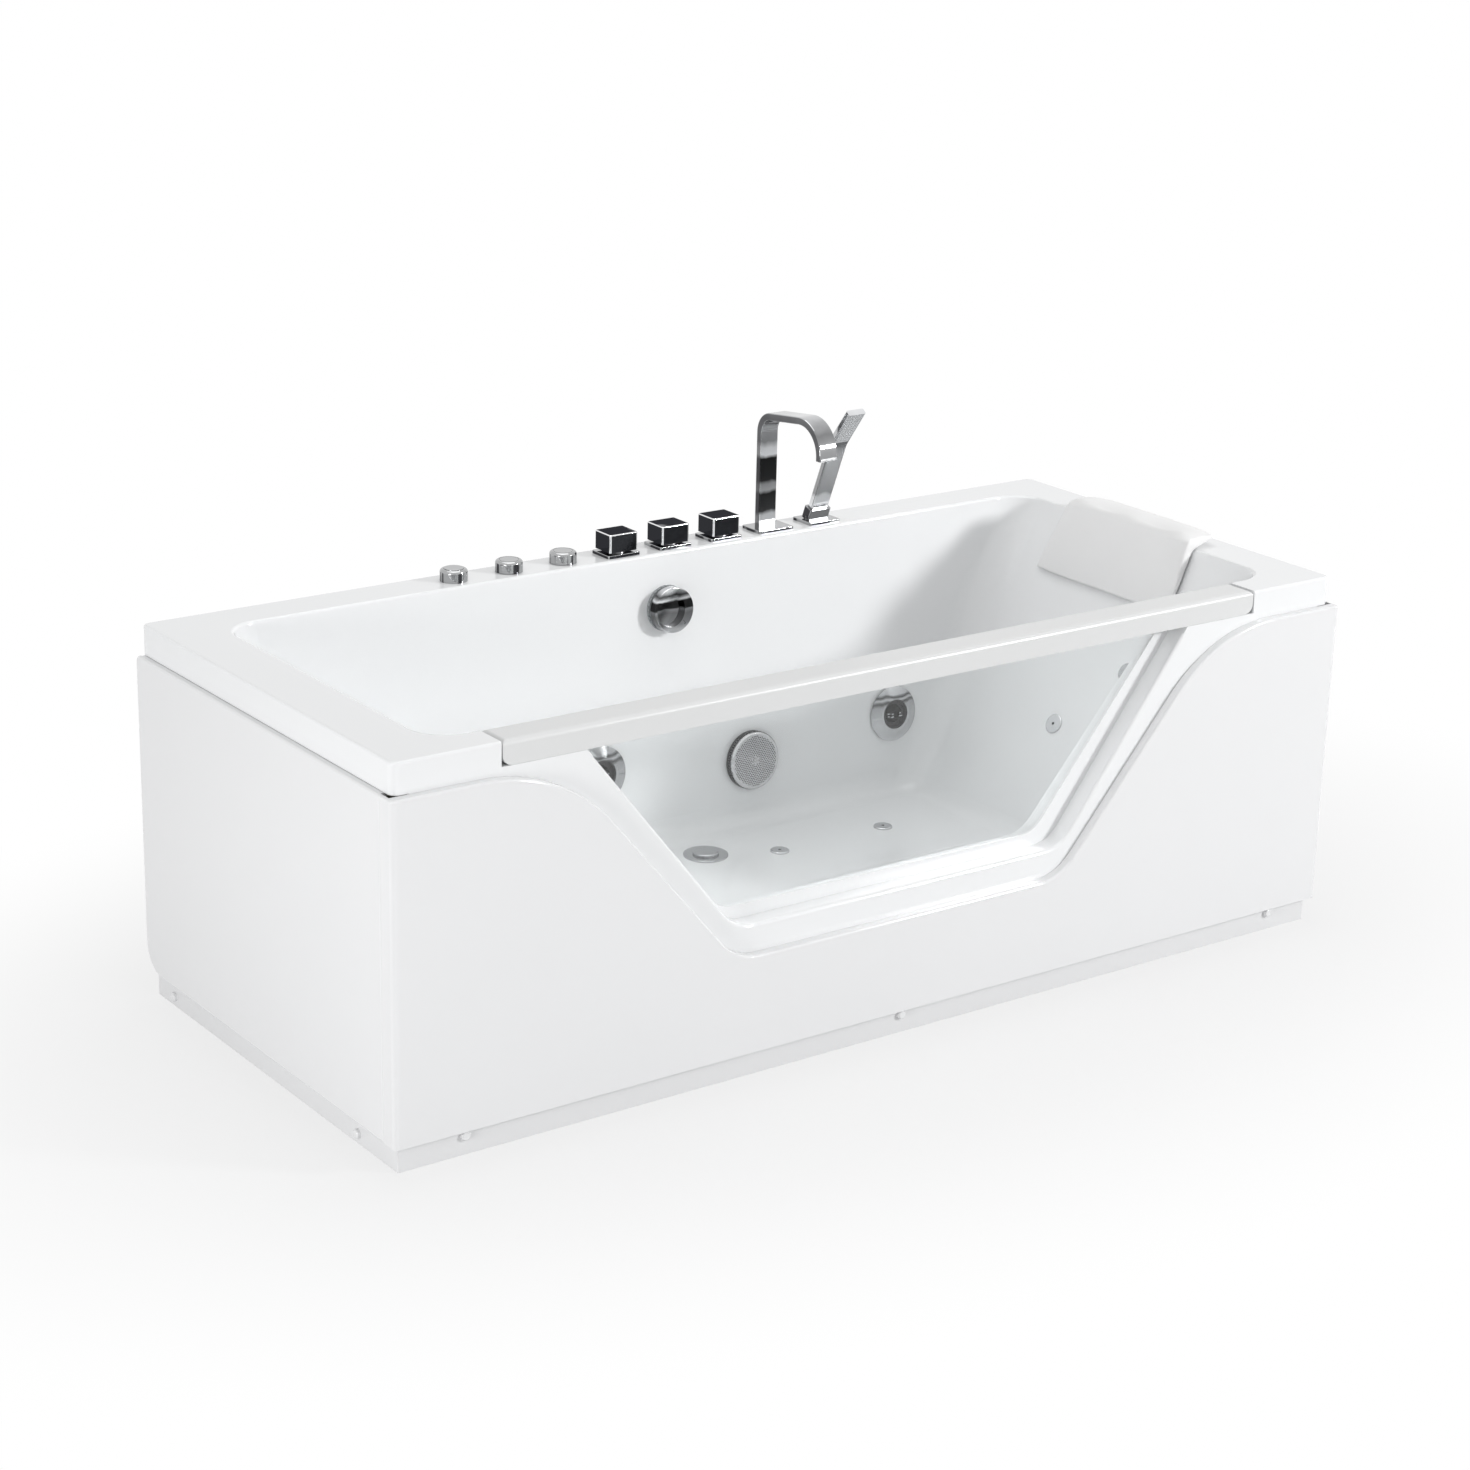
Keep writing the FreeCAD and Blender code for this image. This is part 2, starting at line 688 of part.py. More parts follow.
# ================================================================ tub shell
def make_shell():
    outer = rounded_block(-RIM_HALF_LENGTH, RIM_HALF_LENGTH, RIM_FRONT_Y, BACK_Y, LIP_BOTTOM_Z, RIM_TOP_Z,
                          RIM_CORNER_R)
    inner = rounded_block(-RIM_HALF_LENGTH + SHELL_T, RIM_HALF_LENGTH - SHELL_T, RIM_FRONT_Y + SHELL_T,
                          BACK_Y - SHELL_T, LIP_BOTTOM_Z, DECK_UNDER_Z, RIM_CORNER_R - SHELL_T)
    rim = outer.cut(inner)
    basin = basin_solid(SHELL_T, BASIN_FLOOR_Z - SHELL_T, BASIN_FLOOR_FILLET, RIM_TOP_Z)
    cavity = basin_solid(0, BASIN_FLOOR_Z, BASIN_FLOOR_FILLET, RIM_TOP_Z)
    body = rim.fuse(basin).cut(cavity).removeSplitter()

    def on_mouth(edge):
        box = edge.BoundBox
        return lies_at_z(edge, RIM_TOP_Z) and box.YMin > RAIL_BACK_Y - 1 and box.YMax < -RAIL_BACK_Y + 1

    def on_rim_outline(edge):
        return lies_at_z(edge, RIM_TOP_Z) and not on_mouth(edge)

    body = body.makeFillet(BASIN_MOUTH_R, edges_where(body, on_mouth))
    body = body.makeFillet(RIM_EDGE_R, edges_where(body, on_rim_outline))

    skirt_points = [vec(x, RIM_FRONT_Y, z) for x, z in SKIRT_OUTLINE]
    skirt = Part.Face(Part.makePolygon(skirt_points + skirt_points[:1])).extrude(vec(0, SHELL_T, 0))
    strip_back = STRIP_FRONT_Y + STRIP_T
    recess = window_prism(BAND_OPENING, BAND_OPENING_R, RECESS_WALL_T, RIM_FRONT_Y + SHELL_T / 2,
                          strip_back, WINDOW_TOP_Z)
    skirt = skirt.fuse(recess)
    recess_space = window_prism(BAND_OPENING, BAND_OPENING_R, 0, RIM_FRONT_Y - 1, STRIP_FRONT_Y, RIM_TOP_Z)
    skirt = skirt.cut(recess_space).removeSplitter()

    def on_band_opening(edge):
        box = edge.BoundBox
        inside = box.XMin > BAND_OPENING[0] - BAND_SIDE_MARGIN and box.XMax < BAND_OPENING[3] + BAND_SIDE_MARGIN
        above = box.ZMin > BAND_OPENING[4] - 1 and box.XLength < BAND_SIDE_LENGTH
        return lies_at_y(edge, RIM_FRONT_Y) and inside and above

    skirt = skirt.makeFillet(BAND_EDGE_R, edges_where(skirt, on_band_opening))

    inside_y = BASIN_FLOOR[2] + SHELL_T
    sill = window_prism(GLASS_OPENING, GLASS_OPENING_R, SILL_GROW + SILL_WALL_T, STRIP_FRONT_Y, inside_y,
                        WINDOW_TOP_Z)
    ledges = []
    for side in (-1, 1):
        inner_x = side * LEDGE_INNER_X
        outer_x = side * (RAIL_NOTCH_HALF + LEDGE_T)
        ledges.append(block(min(inner_x, outer_x), max(inner_x, outer_x), RIM_FRONT_Y, NOTCH_BACK_Y,
                            WINDOW_TOP_Z - LEDGE_T, WINDOW_TOP_Z).cut(recess_space))
        wall_x = side * RAIL_NOTCH_HALF
        ledges.append(block(min(wall_x, outer_x), max(wall_x, outer_x), RIM_FRONT_Y, RAIL_BACK_Y - SHELL_T / 2,
                            WINDOW_TOP_Z - LEDGE_T, DECK_UNDER_Z + 1))
    body = body.fuse([skirt, sill] + ledges)
    notch = block(-RAIL_NOTCH_HALF, RAIL_NOTCH_HALF, RIM_FRONT_Y - 1, NOTCH_BACK_Y, WINDOW_TOP_Z,
                  RIM_TOP_Z + CUT_PAST)
    glass_space = window_prism(GLASS_OPENING, GLASS_OPENING_R, 0, STRIP_FRONT_Y - 1, inside_y + CUT_PAST,
                               WINDOW_TOP_Z + CUT_PAST)
    bay = window_prism(GLASS_OPENING, GLASS_OPENING_R, SILL_GROW, strip_back, inside_y + CUT_PAST,
                       WINDOW_TOP_Z + CUT_PAST)
    tools = [cavity, notch, recess_space, glass_space, bay]
    tools.append(rod(DRAIN_HOLE_R, vec(DRAIN_X, DRAIN_Y, 0), vec(DRAIN_X, DRAIN_Y, BASIN_FLOOR_Z + CUT_PAST)))
    for x, y in air_jet_points:
        tools.append(rod(AIR_JET_HOLE_R, vec(x, y, 0), vec(x, y, BASIN_FLOOR_Z + CUT_PAST)))
    for x, y in deck_points:
        tools.append(rod(DECK_HOLE_R, vec(x, y, DECK_UNDER_Z - 1), vec(x, y, RIM_TOP_Z + 1)))
    through = [(overflow_frame, OVERFLOW_HOLE_R), (suction_frame, SUCTION_HOLE_R)]
    through += [(frame, JET_HOLE_R) for frame in jet_frames]
    through += [(frame, AIR_JET_HOLE_R) for frame in slope_jet_frames]
    for frame, radius in through:
        tools.append(placed(rod(radius, vec(0, 0, -2 * SHELL_T), vec(0, 0, SHELL_T)), frame))
    return without(body, tools)


nodes["tub_shell"] = make_shell()

# ================================================================ window
glass_y0 = STRIP_FRONT_Y + STRIP_T + SEAL_T
glass_y1 = glass_y0 + GLASS_T
nodes["window_glass"] = window_prism(GLASS_OPENING, GLASS_OPENING_R, GLASS_GROW,
                                     glass_y0, glass_y1, GLASS_TOP_Z)
seal = window_prism(GLASS_OPENING, GLASS_OPENING_R, SEAL_OUTER_GROW, glass_y0 - SEAL_T, glass_y1, GLASS_TOP_Z)
seal_window = window_prism(GLASS_OPENING, GLASS_OPENING_R, SEAL_INNER_GROW, glass_y0 - SEAL_T, glass_y1,
                           GLASS_TOP_Z)
nodes["window_seal"] = seal.cut([seal_window, nodes["window_glass"]])


def make_rail():
    points = [
        vec(-RAIL_HALF_LENGTH, RAIL_FRONT_Y, RIM_TOP_Z),
        vec(-RAIL_HALF_LENGTH, RAIL_FRONT_Y, RAIL_BOTTOM_Z),
        vec(RAIL_HALF_LENGTH, RAIL_FRONT_Y, RAIL_BOTTOM_Z),
        vec(RAIL_HALF_LENGTH, RAIL_FRONT_Y, RIM_TOP_Z),
    ]
    bar = closed_face(points, [RAIL_END_R] * 2).extrude(vec(0, RAIL_BACK_Y - RAIL_FRONT_Y, 0))
    bar = bar.makeFillet(RAIL_EDGE_R, edges_where(bar, lambda edge: lies_at_z(edge, RIM_TOP_Z)))
    hollow = block(-RAIL_HALF_LENGTH + RAIL_END_R + RAIL_WALL, RAIL_HALF_LENGTH - RAIL_END_R - RAIL_WALL,
                   RAIL_FRONT_Y + RAIL_WALL, RAIL_BACK_Y - RAIL_WALL, RAIL_BOTTOM_Z - 1, RIM_TOP_Z - RAIL_WALL)
    return bar.cut(hollow)


nodes["window_top_rail"] = make_rail()


# ================================================================ apron panels
def cutout_prism(grow, y0, y1):
    """The space above the panel's swept edge, grown outwards by the given amount."""
    top = PANEL_TOP_Z - grow
    bottom = CUTOUT_BOTTOM_Z - grow
    side_shift = grow * math.hypot(1, CUTOUT_SIDE_SLOPE)
    low_half = CUTOUT_BOTTOM_HALF + side_shift - CUTOUT_SIDE_SLOPE * grow
    top_half = low_half + CUTOUT_SIDE_SLOPE * (top - bottom)
    points = [
        vec(-CUTOUT_REACH, y0, top), vec(-top_half, y0, top), vec(-low_half, y0, bottom),
        vec(low_half, y0, bottom), vec(top_half, y0, top), vec(CUTOUT_REACH, y0, top),
        vec(CUTOUT_REACH, y0, CUTOUT_REACH), vec(-CUTOUT_REACH, y0, CUTOUT_REACH),
    ]
    bends = [CUTOUT_FLARE_R - grow, CUTOUT_BOTTOM_R + grow, CUTOUT_BOTTOM_R + grow, CUTOUT_FLARE_R - grow]
    swept = route(points[:6], bends)
    closing = points[5:] + points[:1]
    swept += [Part.LineSegment(start, end).toShape() for start, end in zip(closing, closing[1:])]
    return Part.Face(Part.Wire(swept)).extrude(vec(0, y1 - y0, 0))


def upright_corner(edge, y):
    box = edge.BoundBox
    return box.ZLength > CUTOUT_BOTTOM_Z and box.XLength < 1 and lies_at_y(edge, y)


def make_front_panel():
    back_y = PANEL_FRONT_Y + PANEL_RETURN_DEPTH
    outer = block(-PANEL_HALF_LENGTH, PANEL_HALF_LENGTH, PANEL_FRONT_Y, back_y, PANEL_BOTTOM_Z, PANEL_TOP_Z)
    corners = edges_where(outer, lambda edge: upright_corner(edge, PANEL_FRONT_Y))
    outer = outer.makeFillet(PANEL_CORNER_R, corners)
    inner_half = PANEL_HALF_LENGTH - PANEL_THICKNESS
    inner_front = PANEL_FRONT_Y + PANEL_THICKNESS
    inner = block(-inner_half, inner_half, inner_front, back_y + 1, PANEL_BOTTOM_Z - 1, PANEL_TOP_Z + 1)
    inner = inner.makeFillet(PANEL_CORNER_R - PANEL_THICKNESS,
                             edges_where(inner, lambda edge: upright_corner(edge, inner_front)))
    reach = cutout_prism(0, PANEL_FRONT_Y - 1, back_y + 1)
    panel = outer.cut([inner, reach]).removeSplitter()

    def on_swept_edge(edge):
        box = edge.BoundBox
        at_bottom = box.ZMax < PANEL_BOTTOM_Z + 1
        upright = box.ZLength > CUTOUT_BOTTOM_Z and box.XLength < 1
        return lies_at_y(edge, PANEL_FRONT_Y) and not at_bottom and not upright

    panel = panel.makeFillet(PANEL_EDGE_R, edges_where(panel, on_swept_edge))
    lip_y0 = inner_front - 1
    lip = cutout_prism(PANEL_THICKNESS, lip_y0, PANEL_LIP_BACK_Y).common(
        block(-inner_half - 1, inner_half + 1, lip_y0, PANEL_LIP_BACK_Y, PANEL_BOTTOM_Z, PANEL_TOP_Z))
    lip = lip.cut(reach)
    return joined([panel, lip])


nodes["front_panel"] = make_front_panel()


def make_end_panel(side):
    front_y = PANEL_FRONT_Y + PANEL_RETURN_DEPTH + END_PANEL_GAP
    face_x = side * PANEL_HALF_LENGTH
    points = [
        vec(face_x, front_y, PANEL_TOP_Z), vec(face_x, front_y, PANEL_BOTTOM_Z),
        vec(face_x, BACK_Y, PANEL_BOTTOM_Z), vec(face_x, BACK_Y, PANEL_TOP_Z),
        vec(face_x, (front_y + BACK_Y) / 2, PANEL_TOP_Z),
    ]
    bends = [0.5, END_PANEL_LOW_BACK_R, END_PANEL_TOP_BACK_R]
    sheet = closed_face(points, bends).extrude(vec(-side * PANEL_THICKNESS, 0, 0))
    inner_x = side * (PANEL_HALF_LENGTH - PANEL_THICKNESS - END_PANEL_FLANGE)
    near_x = side * (PANEL_HALF_LENGTH - 1)
    flange = block(min(inner_x, near_x), max(inner_x, near_x), front_y + PANEL_THICKNESS,
                   BACK_Y - END_PANEL_TOP_BACK_R, PANEL_TOP_Z - PANEL_THICKNESS, PANEL_TOP_Z)
    panel = joined([sheet, flange])

    def outer_top(edge):
        box = edge.BoundBox
        on_face = abs(box.XMin - face_x) < SAME_PLACE and abs(box.XMax - face_x) < SAME_PLACE
        return on_face and box.ZMin > PANEL_TOP_Z - SAME_PLACE and box.YLength > RIM_CORNER_R

    return panel.makeFillet(PANEL_EDGE_R, edges_where(panel, outer_top))


nodes["left_end_panel"] = make_end_panel(-1)
nodes["right_end_panel"] = make_end_panel(1)

plinths = [block(-PLINTH_HALF_LENGTH, PLINTH_HALF_LENGTH, PLINTH_FRONT_Y, PLINTH_FRONT_Y + PLINTH_T, 0,
                 PLINTH_TOP_Z)]
for side in (-1, 1):
    face_x = side * PLINTH_HALF_LENGTH
    back_x = face_x - side * PLINTH_T
    plinths.append(block(min(face_x, back_x), max(face_x, back_x), PLINTH_FRONT_Y + PLINTH_T, PLINTH_BACK_Y, 0,
                         PLINTH_TOP_Z))


def cap_screw(point, outward):
    cap = rod(SCREW_CAP_R, point, point + outward * SCREW_CAP_PROUD)
    cap_front = point + outward * SCREW_CAP_PROUD
    rim = edges_where(cap, lambda edge: edge.CenterOfMass.distanceToPoint(cap_front) < 1)
    cap = cap.makeFillet(SCREW_CAP_PROUD / 2, rim)
    return cap.fuse(rod(SCREW_SHANK_R, point - outward * SCREW_SHANK, point)).removeSplitter()


screws = [cap_screw(vec(x, PLINTH_FRONT_Y, FRONT_SCREW_Z), AXIS_Y * -1) for x in FRONT_SCREW_X]
for side in (-1, 1):
    for y in SIDE_SCREW_Y:
        screws.append(cap_screw(vec(side * PLINTH_HALF_LENGTH, y, SIDE_SCREW_Z), AXIS_X * side))
nodes["plinth_strips"] = Part.makeCompound([strip.cut(screws) for strip in plinths])
nodes["plinth_screws"] = Part.makeCompound(screws)


def panel_clip(origin, outward, reach):
    """A spring clip that stands on the rim lip's inner face and reaches out to the panel's back."""
    frame = local_frame(origin, outward, AXIS_Z.cross(outward))
    seat = block(-CLIP_HOOK_T, reach - CLIP_GAP, -CLIP_WIDTH / 2, CLIP_WIDTH / 2, CLIP_LOW_Z,
                 PANEL_TOP_Z - PANEL_THICKNESS - CLIP_GAP)
    hook = block(-CLIP_HOOK_T, -CLIP_GAP, -CLIP_WIDTH / 2, CLIP_WIDTH / 2, CLIP_LOW_Z, CLIP_HOOK_Z)
    return placed(joined([seat, hook]), frame)


clips = []
lip_inner_y = RIM_FRONT_Y + SHELL_T
lip_inner_x = RIM_HALF_LENGTH - SHELL_T
for side in (-1, 1):
    clips.append(panel_clip(vec(side * CLIP_X, lip_inner_y, 0), AXIS_Y * -1,
                            lip_inner_y - PANEL_FRONT_Y - PANEL_THICKNESS))
    for y in CLIP_Y:
        clips.append(panel_clip(vec(side * lip_inner_x, y, 0), AXIS_X * side,
                                PANEL_HALF_LENGTH - PANEL_THICKNESS - lip_inner_x))
nodes["panel_clips"] = Part.makeCompound(clips)


# ================================================================ under-frame
def square_tube(x0, x1, y0, y1, z0, z1, along):
    outer = block(x0, x1, y0, y1, z0, z1)
    wall = TUBE_WALL
    if along == "x":
        return outer.cut(block(x0 - 1, x1 + 1, y0 + wall, y1 - wall, z0 + wall, z1 - wall))
    if along == "y":
        return outer.cut(block(x0 + wall, x1 - wall, y0 - 1, y1 + 1, z0 + wall, z1 - wall))
    return outer.cut(block(x0 + wall, x1 - wall, y0 + wall, y1 - wall, z0 - 1, z1 + 1))


half_tube = TUBE_SIZE / 2
board = block(*FLOOR_BOARD, board_low_z, board_low_z + FLOOR_BOARD_T)
board_holes = [rod(AIR_JET_CAP_R, vec(x, y, 0), vec(x, y, BASIN_FLOOR_Z)) for x, y in air_jet_points]
board_holes.append(rod(TRAP_R, vec(DRAIN_X, DRAIN_Y, 0), vec(DRAIN_X, DRAIN_Y, BASIN_FLOOR_Z)))
nodes["floor_board"] = board.cut(board_holes)
half_post = UPRIGHT_SIZE / 2
frame_tubes = []
for x in BEARER_X:
    frame_tubes.append(square_tube(x - half_tube, x + half_tube, BEARER_Y[0], BEARER_Y[1], bearer_low_z,
                                   board_low_z, "y"))
for y in RAIL_Y:
    frame_tubes.append(square_tube(RAIL_X[0], RAIL_X[1], y - half_tube, y + half_tube, bearer_low_z - TUBE_SIZE,
                                   bearer_low_z, "x"))
for x in (-UPRIGHT_X, UPRIGHT_X):
    for y in UPRIGHT_Y:
        frame_tubes.append(square_tube(x - half_post, x + half_post, y - half_post, y + half_post, board_low_z,
                                       DECK_UNDER_Z, "z"))
nodes["frame_tubes"] = Part.makeCompound(frame_tubes)


def make_foot(x, y):
    pad = rod(FOOT_PAD_R, vec(x, y, 0), vec(x, y, FOOT_PAD_H))
    pad = pad.makeFillet(FOOT_PAD_H / 3, edges_where(pad, lambda edge: lies_at_z(edge, FOOT_PAD_H)))
    return pad.fuse(rod(FOOT_STUD_R, vec(x, y, FOOT_PAD_H), vec(x, y, bearer_low_z))).removeSplitter()


foot_points = [(x, y) for x in FOOT_X for y in FOOT_Y]
nodes["adjustable_feet"] = Part.makeCompound([make_foot(x, y) for x, y in foot_points])
nodes["foot_lock_nuts"] = Part.makeCompound([
    hexagon(FOOT_NUT_R, vec(x, y, bearer_low_z - FOOT_NUT_H), FOOT_NUT_H).cut(
        rod(FOOT_STUD_R, vec(x, y, 0), vec(x, y, bearer_low_z)))
    for x, y in foot_points])


# ================================================================ headrest
def pillow_section(share, inset):
    """One cross-section of the folded pad; inset draws its faces in towards its middle."""
    top_y = PILLOW_SIDES[0][0] + (PILLOW_SIDES[1][0] - PILLOW_SIDES[0][0]) * share
    low_y = PILLOW_SIDES[0][1] + (PILLOW_SIDES[1][1] - PILLOW_SIDES[0][1]) * share
    up = slope_frame(0, PILLOW_LOW_Z).Rotation.multVec(AXIS_Y)
    out = slope_frame(0, PILLOW_LOW_Z).Rotation.multVec(AXIS_Z)
    inset_tip = min(inset, PILLOW_TIP_T / 4)
    inset_flap = min(inset, PILLOW_FLAP_INSET)

    def at(x, z):
        fall = (PILLOW_TOP_Z - z) / (PILLOW_TOP_Z - PILLOW_LOW_Z)
        return vec(x, top_y + (low_y - top_y) * fall, z)

    low = vec(slope_x(PILLOW_LOW_Z), 0, PILLOW_LOW_Z) + out * PILLOW_GAP
    high = vec(slope_x(DECK_UNDER_Z), 0, DECK_UNDER_Z) + out * PILLOW_GAP
    nose_top = vec(PILLOW_FRONT_TOP_X + PILLOW_NOSE_R, 0, PILLOW_TOP_Z - inset)
    nose_low = vec(PILLOW_FRONT_TOP_X, 0, PILLOW_TOP_Z) - up * PILLOW_NOSE_R - out * inset
    tip_back = low + out * inset_tip
    tip_front = low + out * (PILLOW_TIP_T - inset_tip)
    tip_middle = (tip_back + tip_front) * 0.5 - up * (PILLOW_TIP_T / 2 - inset_tip)
    nose_corner = vec(PILLOW_FRONT_TOP_X, 0, PILLOW_TOP_Z)
    nose_middle = nose_corner + (out * -1 - up) * (PILLOW_NOSE_R / 4) - out * inset
    front_middle = (tip_front + nose_low) * 0.5 + out * max(PILLOW_CROWN - inset, PILLOW_LEAST_CROWN)
    back_top = vec(PILLOW_BACK_X - inset, 0, PILLOW_TOP_Z - inset_flap - PILLOW_CROWN)
    back_low = vec(PILLOW_BACK_X - inset, 0, PILLOW_BACK_LOW_Z + inset_flap)
    back_middle = (back_top + back_low) * 0.5 + AXIS_X * PILLOW_CROWN * 0.5
    top_middle = (nose_top + back_top) * 0.5 + AXIS_Z * (PILLOW_CROWN * 0.5)
    fold_high = vec(BASIN_TOP[1] + PILLOW_GAP, 0, RIM_TOP_Z + PILLOW_GAP)
    fold_middle = (high + out * inset_tip + fold_high) * 0.5 + (out + AXIS_Z) * (PILLOW_GAP / 8)
    line = Part.LineSegment
    arc = Part.Arc

    def point(vector):
        return at(vector.x, vector.z)

    back_start = high + out * inset_tip
    pieces = [
        line(point(tip_back), point(back_start)),
        arc(point(back_start), point(fold_middle), point(fold_high)),
        line(point(fold_high), point(back_low)),
        arc(point(back_low), point(back_middle), point(back_top)),
        arc(point(back_top), point(top_middle), point(nose_top)),
        arc(point(nose_top), point(nose_middle), point(nose_low)),
        arc(point(nose_low), point(front_middle), point(tip_front)),
        arc(point(tip_front), point(tip_middle), point(tip_back)),
    ]
    return Part.Wire([piece.toShape() for piece in pieces])


suckers = []
for y in SUCKER_Y:
    cup = Part.makeCone(SUCKER_R, SUCKER_R / 2, PILLOW_GAP - 2 * CLIP_GAP, vec(0, 0, CLIP_GAP), AXIS_Z)
    suckers.append(placed(cup, slope_frame(y, SUCKER_Z)))
nodes["headrest_suckers"] = Part.makeCompound(suckers)
pillow = Part.makeLoft([pillow_section(share, inset) for share, inset in PILLOW_STATIONS], True)
nodes["headrest"] = pillow.cut(suckers)


# ================================================================ deck fittings
def shank(x, y, top_z, low_z=SHANK_LOW_Z):
    return rod(SHANK_R, vec(x, y, low_z), vec(x, y, top_z))


nodes["deck_nuts"] = Part.makeCompound([
    hexagon(NUT_ACROSS_R, vec(x, y, NUT_BOTTOM_Z), NUT_TOP_Z - NUT_BOTTOM_Z).cut(
        rod(SHANK_R + CLIP_GAP, vec(x, y, NUT_BOTTOM_Z - 1), vec(x, y, NUT_TOP_Z + 1)))
    for x, y in deck_points])


def make_knob(x):
    knob = rod(KNOB_R, vec(x, KNOB_Y, KNOB_BOTTOM_Z), vec(x, KNOB_Y, KNOB_TOP_Z))
    knob = knob.makeFillet(KNOB_EDGE_R, edges_where(knob, lambda edge: lies_at_z(edge, KNOB_TOP_Z)))
    groove = sleeve(KNOB_DISC_R, KNOB_DISC_R - KNOB_GROOVE_W, vec(x, KNOB_Y, KNOB_TOP_Z - KNOB_GROOVE_DEPTH),
                    vec(x, KNOB_Y, KNOB_TOP_Z + 1))
    pocket = rod(KNOB_POCKET_R, vec(x, KNOB_Y, KNOB_BOTTOM_Z - 1), vec(x, KNOB_Y, KNOB_POCKET_TOP_Z))
    bore = rod(STEM_R + STEM_FIT, vec(x, KNOB_Y, KNOB_BOTTOM_Z), vec(x, KNOB_Y, KNOB_STEM_TOP_Z + 1))
    return knob.cut([groove, pocket, bore])


def make_regulator(x):
    pieces = [
        rod(KNOB_FLANGE_R, vec(x, KNOB_Y, RIM_TOP_Z), vec(x, KNOB_Y, KNOB_FLANGE_TOP_Z)),
        rod(STEM_R, vec(x, KNOB_Y, KNOB_FLANGE_TOP_Z), vec(x, KNOB_Y, KNOB_STEM_TOP_Z)),
        shank(x, KNOB_Y, RIM_TOP_Z),
        rod(REGULATOR_R, vec(x, KNOB_Y, REGULATOR_LOW_Z), vec(x, KNOB_Y, SHANK_LOW_Z)),
        rod(REGULATOR_SPIGOT_R, vec(x, AIR_LINE_Y, AIR_LINE_Z + 2 * AIR_LINE_BEND),
            vec(x, AIR_LINE_Y, REGULATOR_LOW_Z)),
    ]
    return joined(pieces)


nodes["left_air_knob"] = make_knob(knob_xs[1])
nodes["right_air_knob"] = make_knob(knob_xs[2])
nodes["air_regulators"] = Part.makeCompound([make_regulator(x) for x in knob_xs[1:]])


def make_button():
    x = knob_xs[0]
    ring = rod(KNOB_R, vec(x, KNOB_Y, RIM_TOP_Z), vec(x, KNOB_Y, KNOB_TOP_Z))
    ring = ring.makeFillet(KNOB_EDGE_R, edges_where(ring, lambda edge: lies_at_z(edge, KNOB_TOP_Z)))
    housing = joined([ring, shank(x, KNOB_Y, RIM_TOP_Z, SIGNAL_TUBE_TOP_Z + SHANK_R)])
    well = rod(BUTTON_WELL_R, vec(x, KNOB_Y, BUTTON_WELL_Z), vec(x, KNOB_Y, KNOB_TOP_Z + 1))
    stem_way = rod(SHANK_BORE_R, vec(x, KNOB_Y, SHANK_LOW_Z), vec(x, KNOB_Y, BUTTON_WELL_Z + 1))
    nipple = rod(SIGNAL_TUBE_R, vec(x, KNOB_Y, SIGNAL_TUBE_TOP_Z),
                 vec(x, KNOB_Y, SIGNAL_TUBE_TOP_Z + SHANK_R + 1))
    housing = joined([housing.cut([well, stem_way]), nipple])
    cap = joined([
        rod(BUTTON_R, vec(x, KNOB_Y, BUTTON_SKIRT_Z), vec(x, KNOB_Y, BUTTON_TOP_Z)),
        rod(STEM_R, vec(x, KNOB_Y, BUTTON_STEM_LOW_Z), vec(x, KNOB_Y, BUTTON_SKIRT_Z)),
    ])
    cap = cap.makeFillet(KNOB_GROOVE_W, edges_where(cap, lambda edge: lies_at_z(edge, BUTTON_TOP_Z)))
    spring = sleeve(BELLOWS_R, BELLOWS_INNER_R, vec(x, KNOB_Y, SHANK_LOW_Z + STEM_FIT),
                    vec(x, KNOB_Y, BUTTON_SKIRT_Z - STEM_FIT))
    return housing, cap, spring


nodes["air_button_housing"], nodes["air_button_cap"], nodes["air_button_bellows"] = make_button()


def deck_plate(x, size, hole_r):
    half_x = size[0] / 2
    half_y = size[1] / 2
    plate = rounded_block(x - half_x, x + half_x, VALVE_Y - half_y, VALVE_Y + half_y, RIM_TOP_Z, PLATE_TOP_Z,
                          PLATE_CORNER_R)
    plate = plate.makeFillet(1, edges_where(plate, lambda edge: lies_at_z(edge, PLATE_TOP_Z)))
    return plate.cut(rod(hole_r, vec(x, VALVE_Y, RIM_TOP_Z - 1), vec(x, VALVE_Y, PLATE_TOP_Z + 1)))


nodes["valve_plates"] = Part.makeCompound([deck_plate(x, VALVE_PLATE, COLLAR_R + CLIP_GAP) for x in valve_xs])


def make_valve_body(x):
    stem_r = SHANK_BORE_R / 2
    pieces = [
        rod(COLLAR_R, vec(x, VALVE_Y, RIM_TOP_Z), vec(x, VALVE_Y, COLLAR_TOP_Z)),
        rod(stem_r, vec(x, VALVE_Y, COLLAR_TOP_Z), vec(x, VALVE_Y, VALVE_STEM_TOP_Z)),
        shank(x, VALVE_Y, RIM_TOP_Z),
        rod(VALVE_BODY_R, vec(x, VALVE_Y, VALVE_BODY_LOW_Z), vec(x, VALVE_Y, SHANK_LOW_Z)),
        rod(VALVE_PORT_R, vec(x - VALVE_BODY_R - VALVE_PORT_REACH, VALVE_Y, VALVE_PORT_Z),
            vec(x + VALVE_BODY_R + VALVE_PORT_REACH, VALVE_Y, VALVE_PORT_Z)),
    ]
    return joined(pieces)


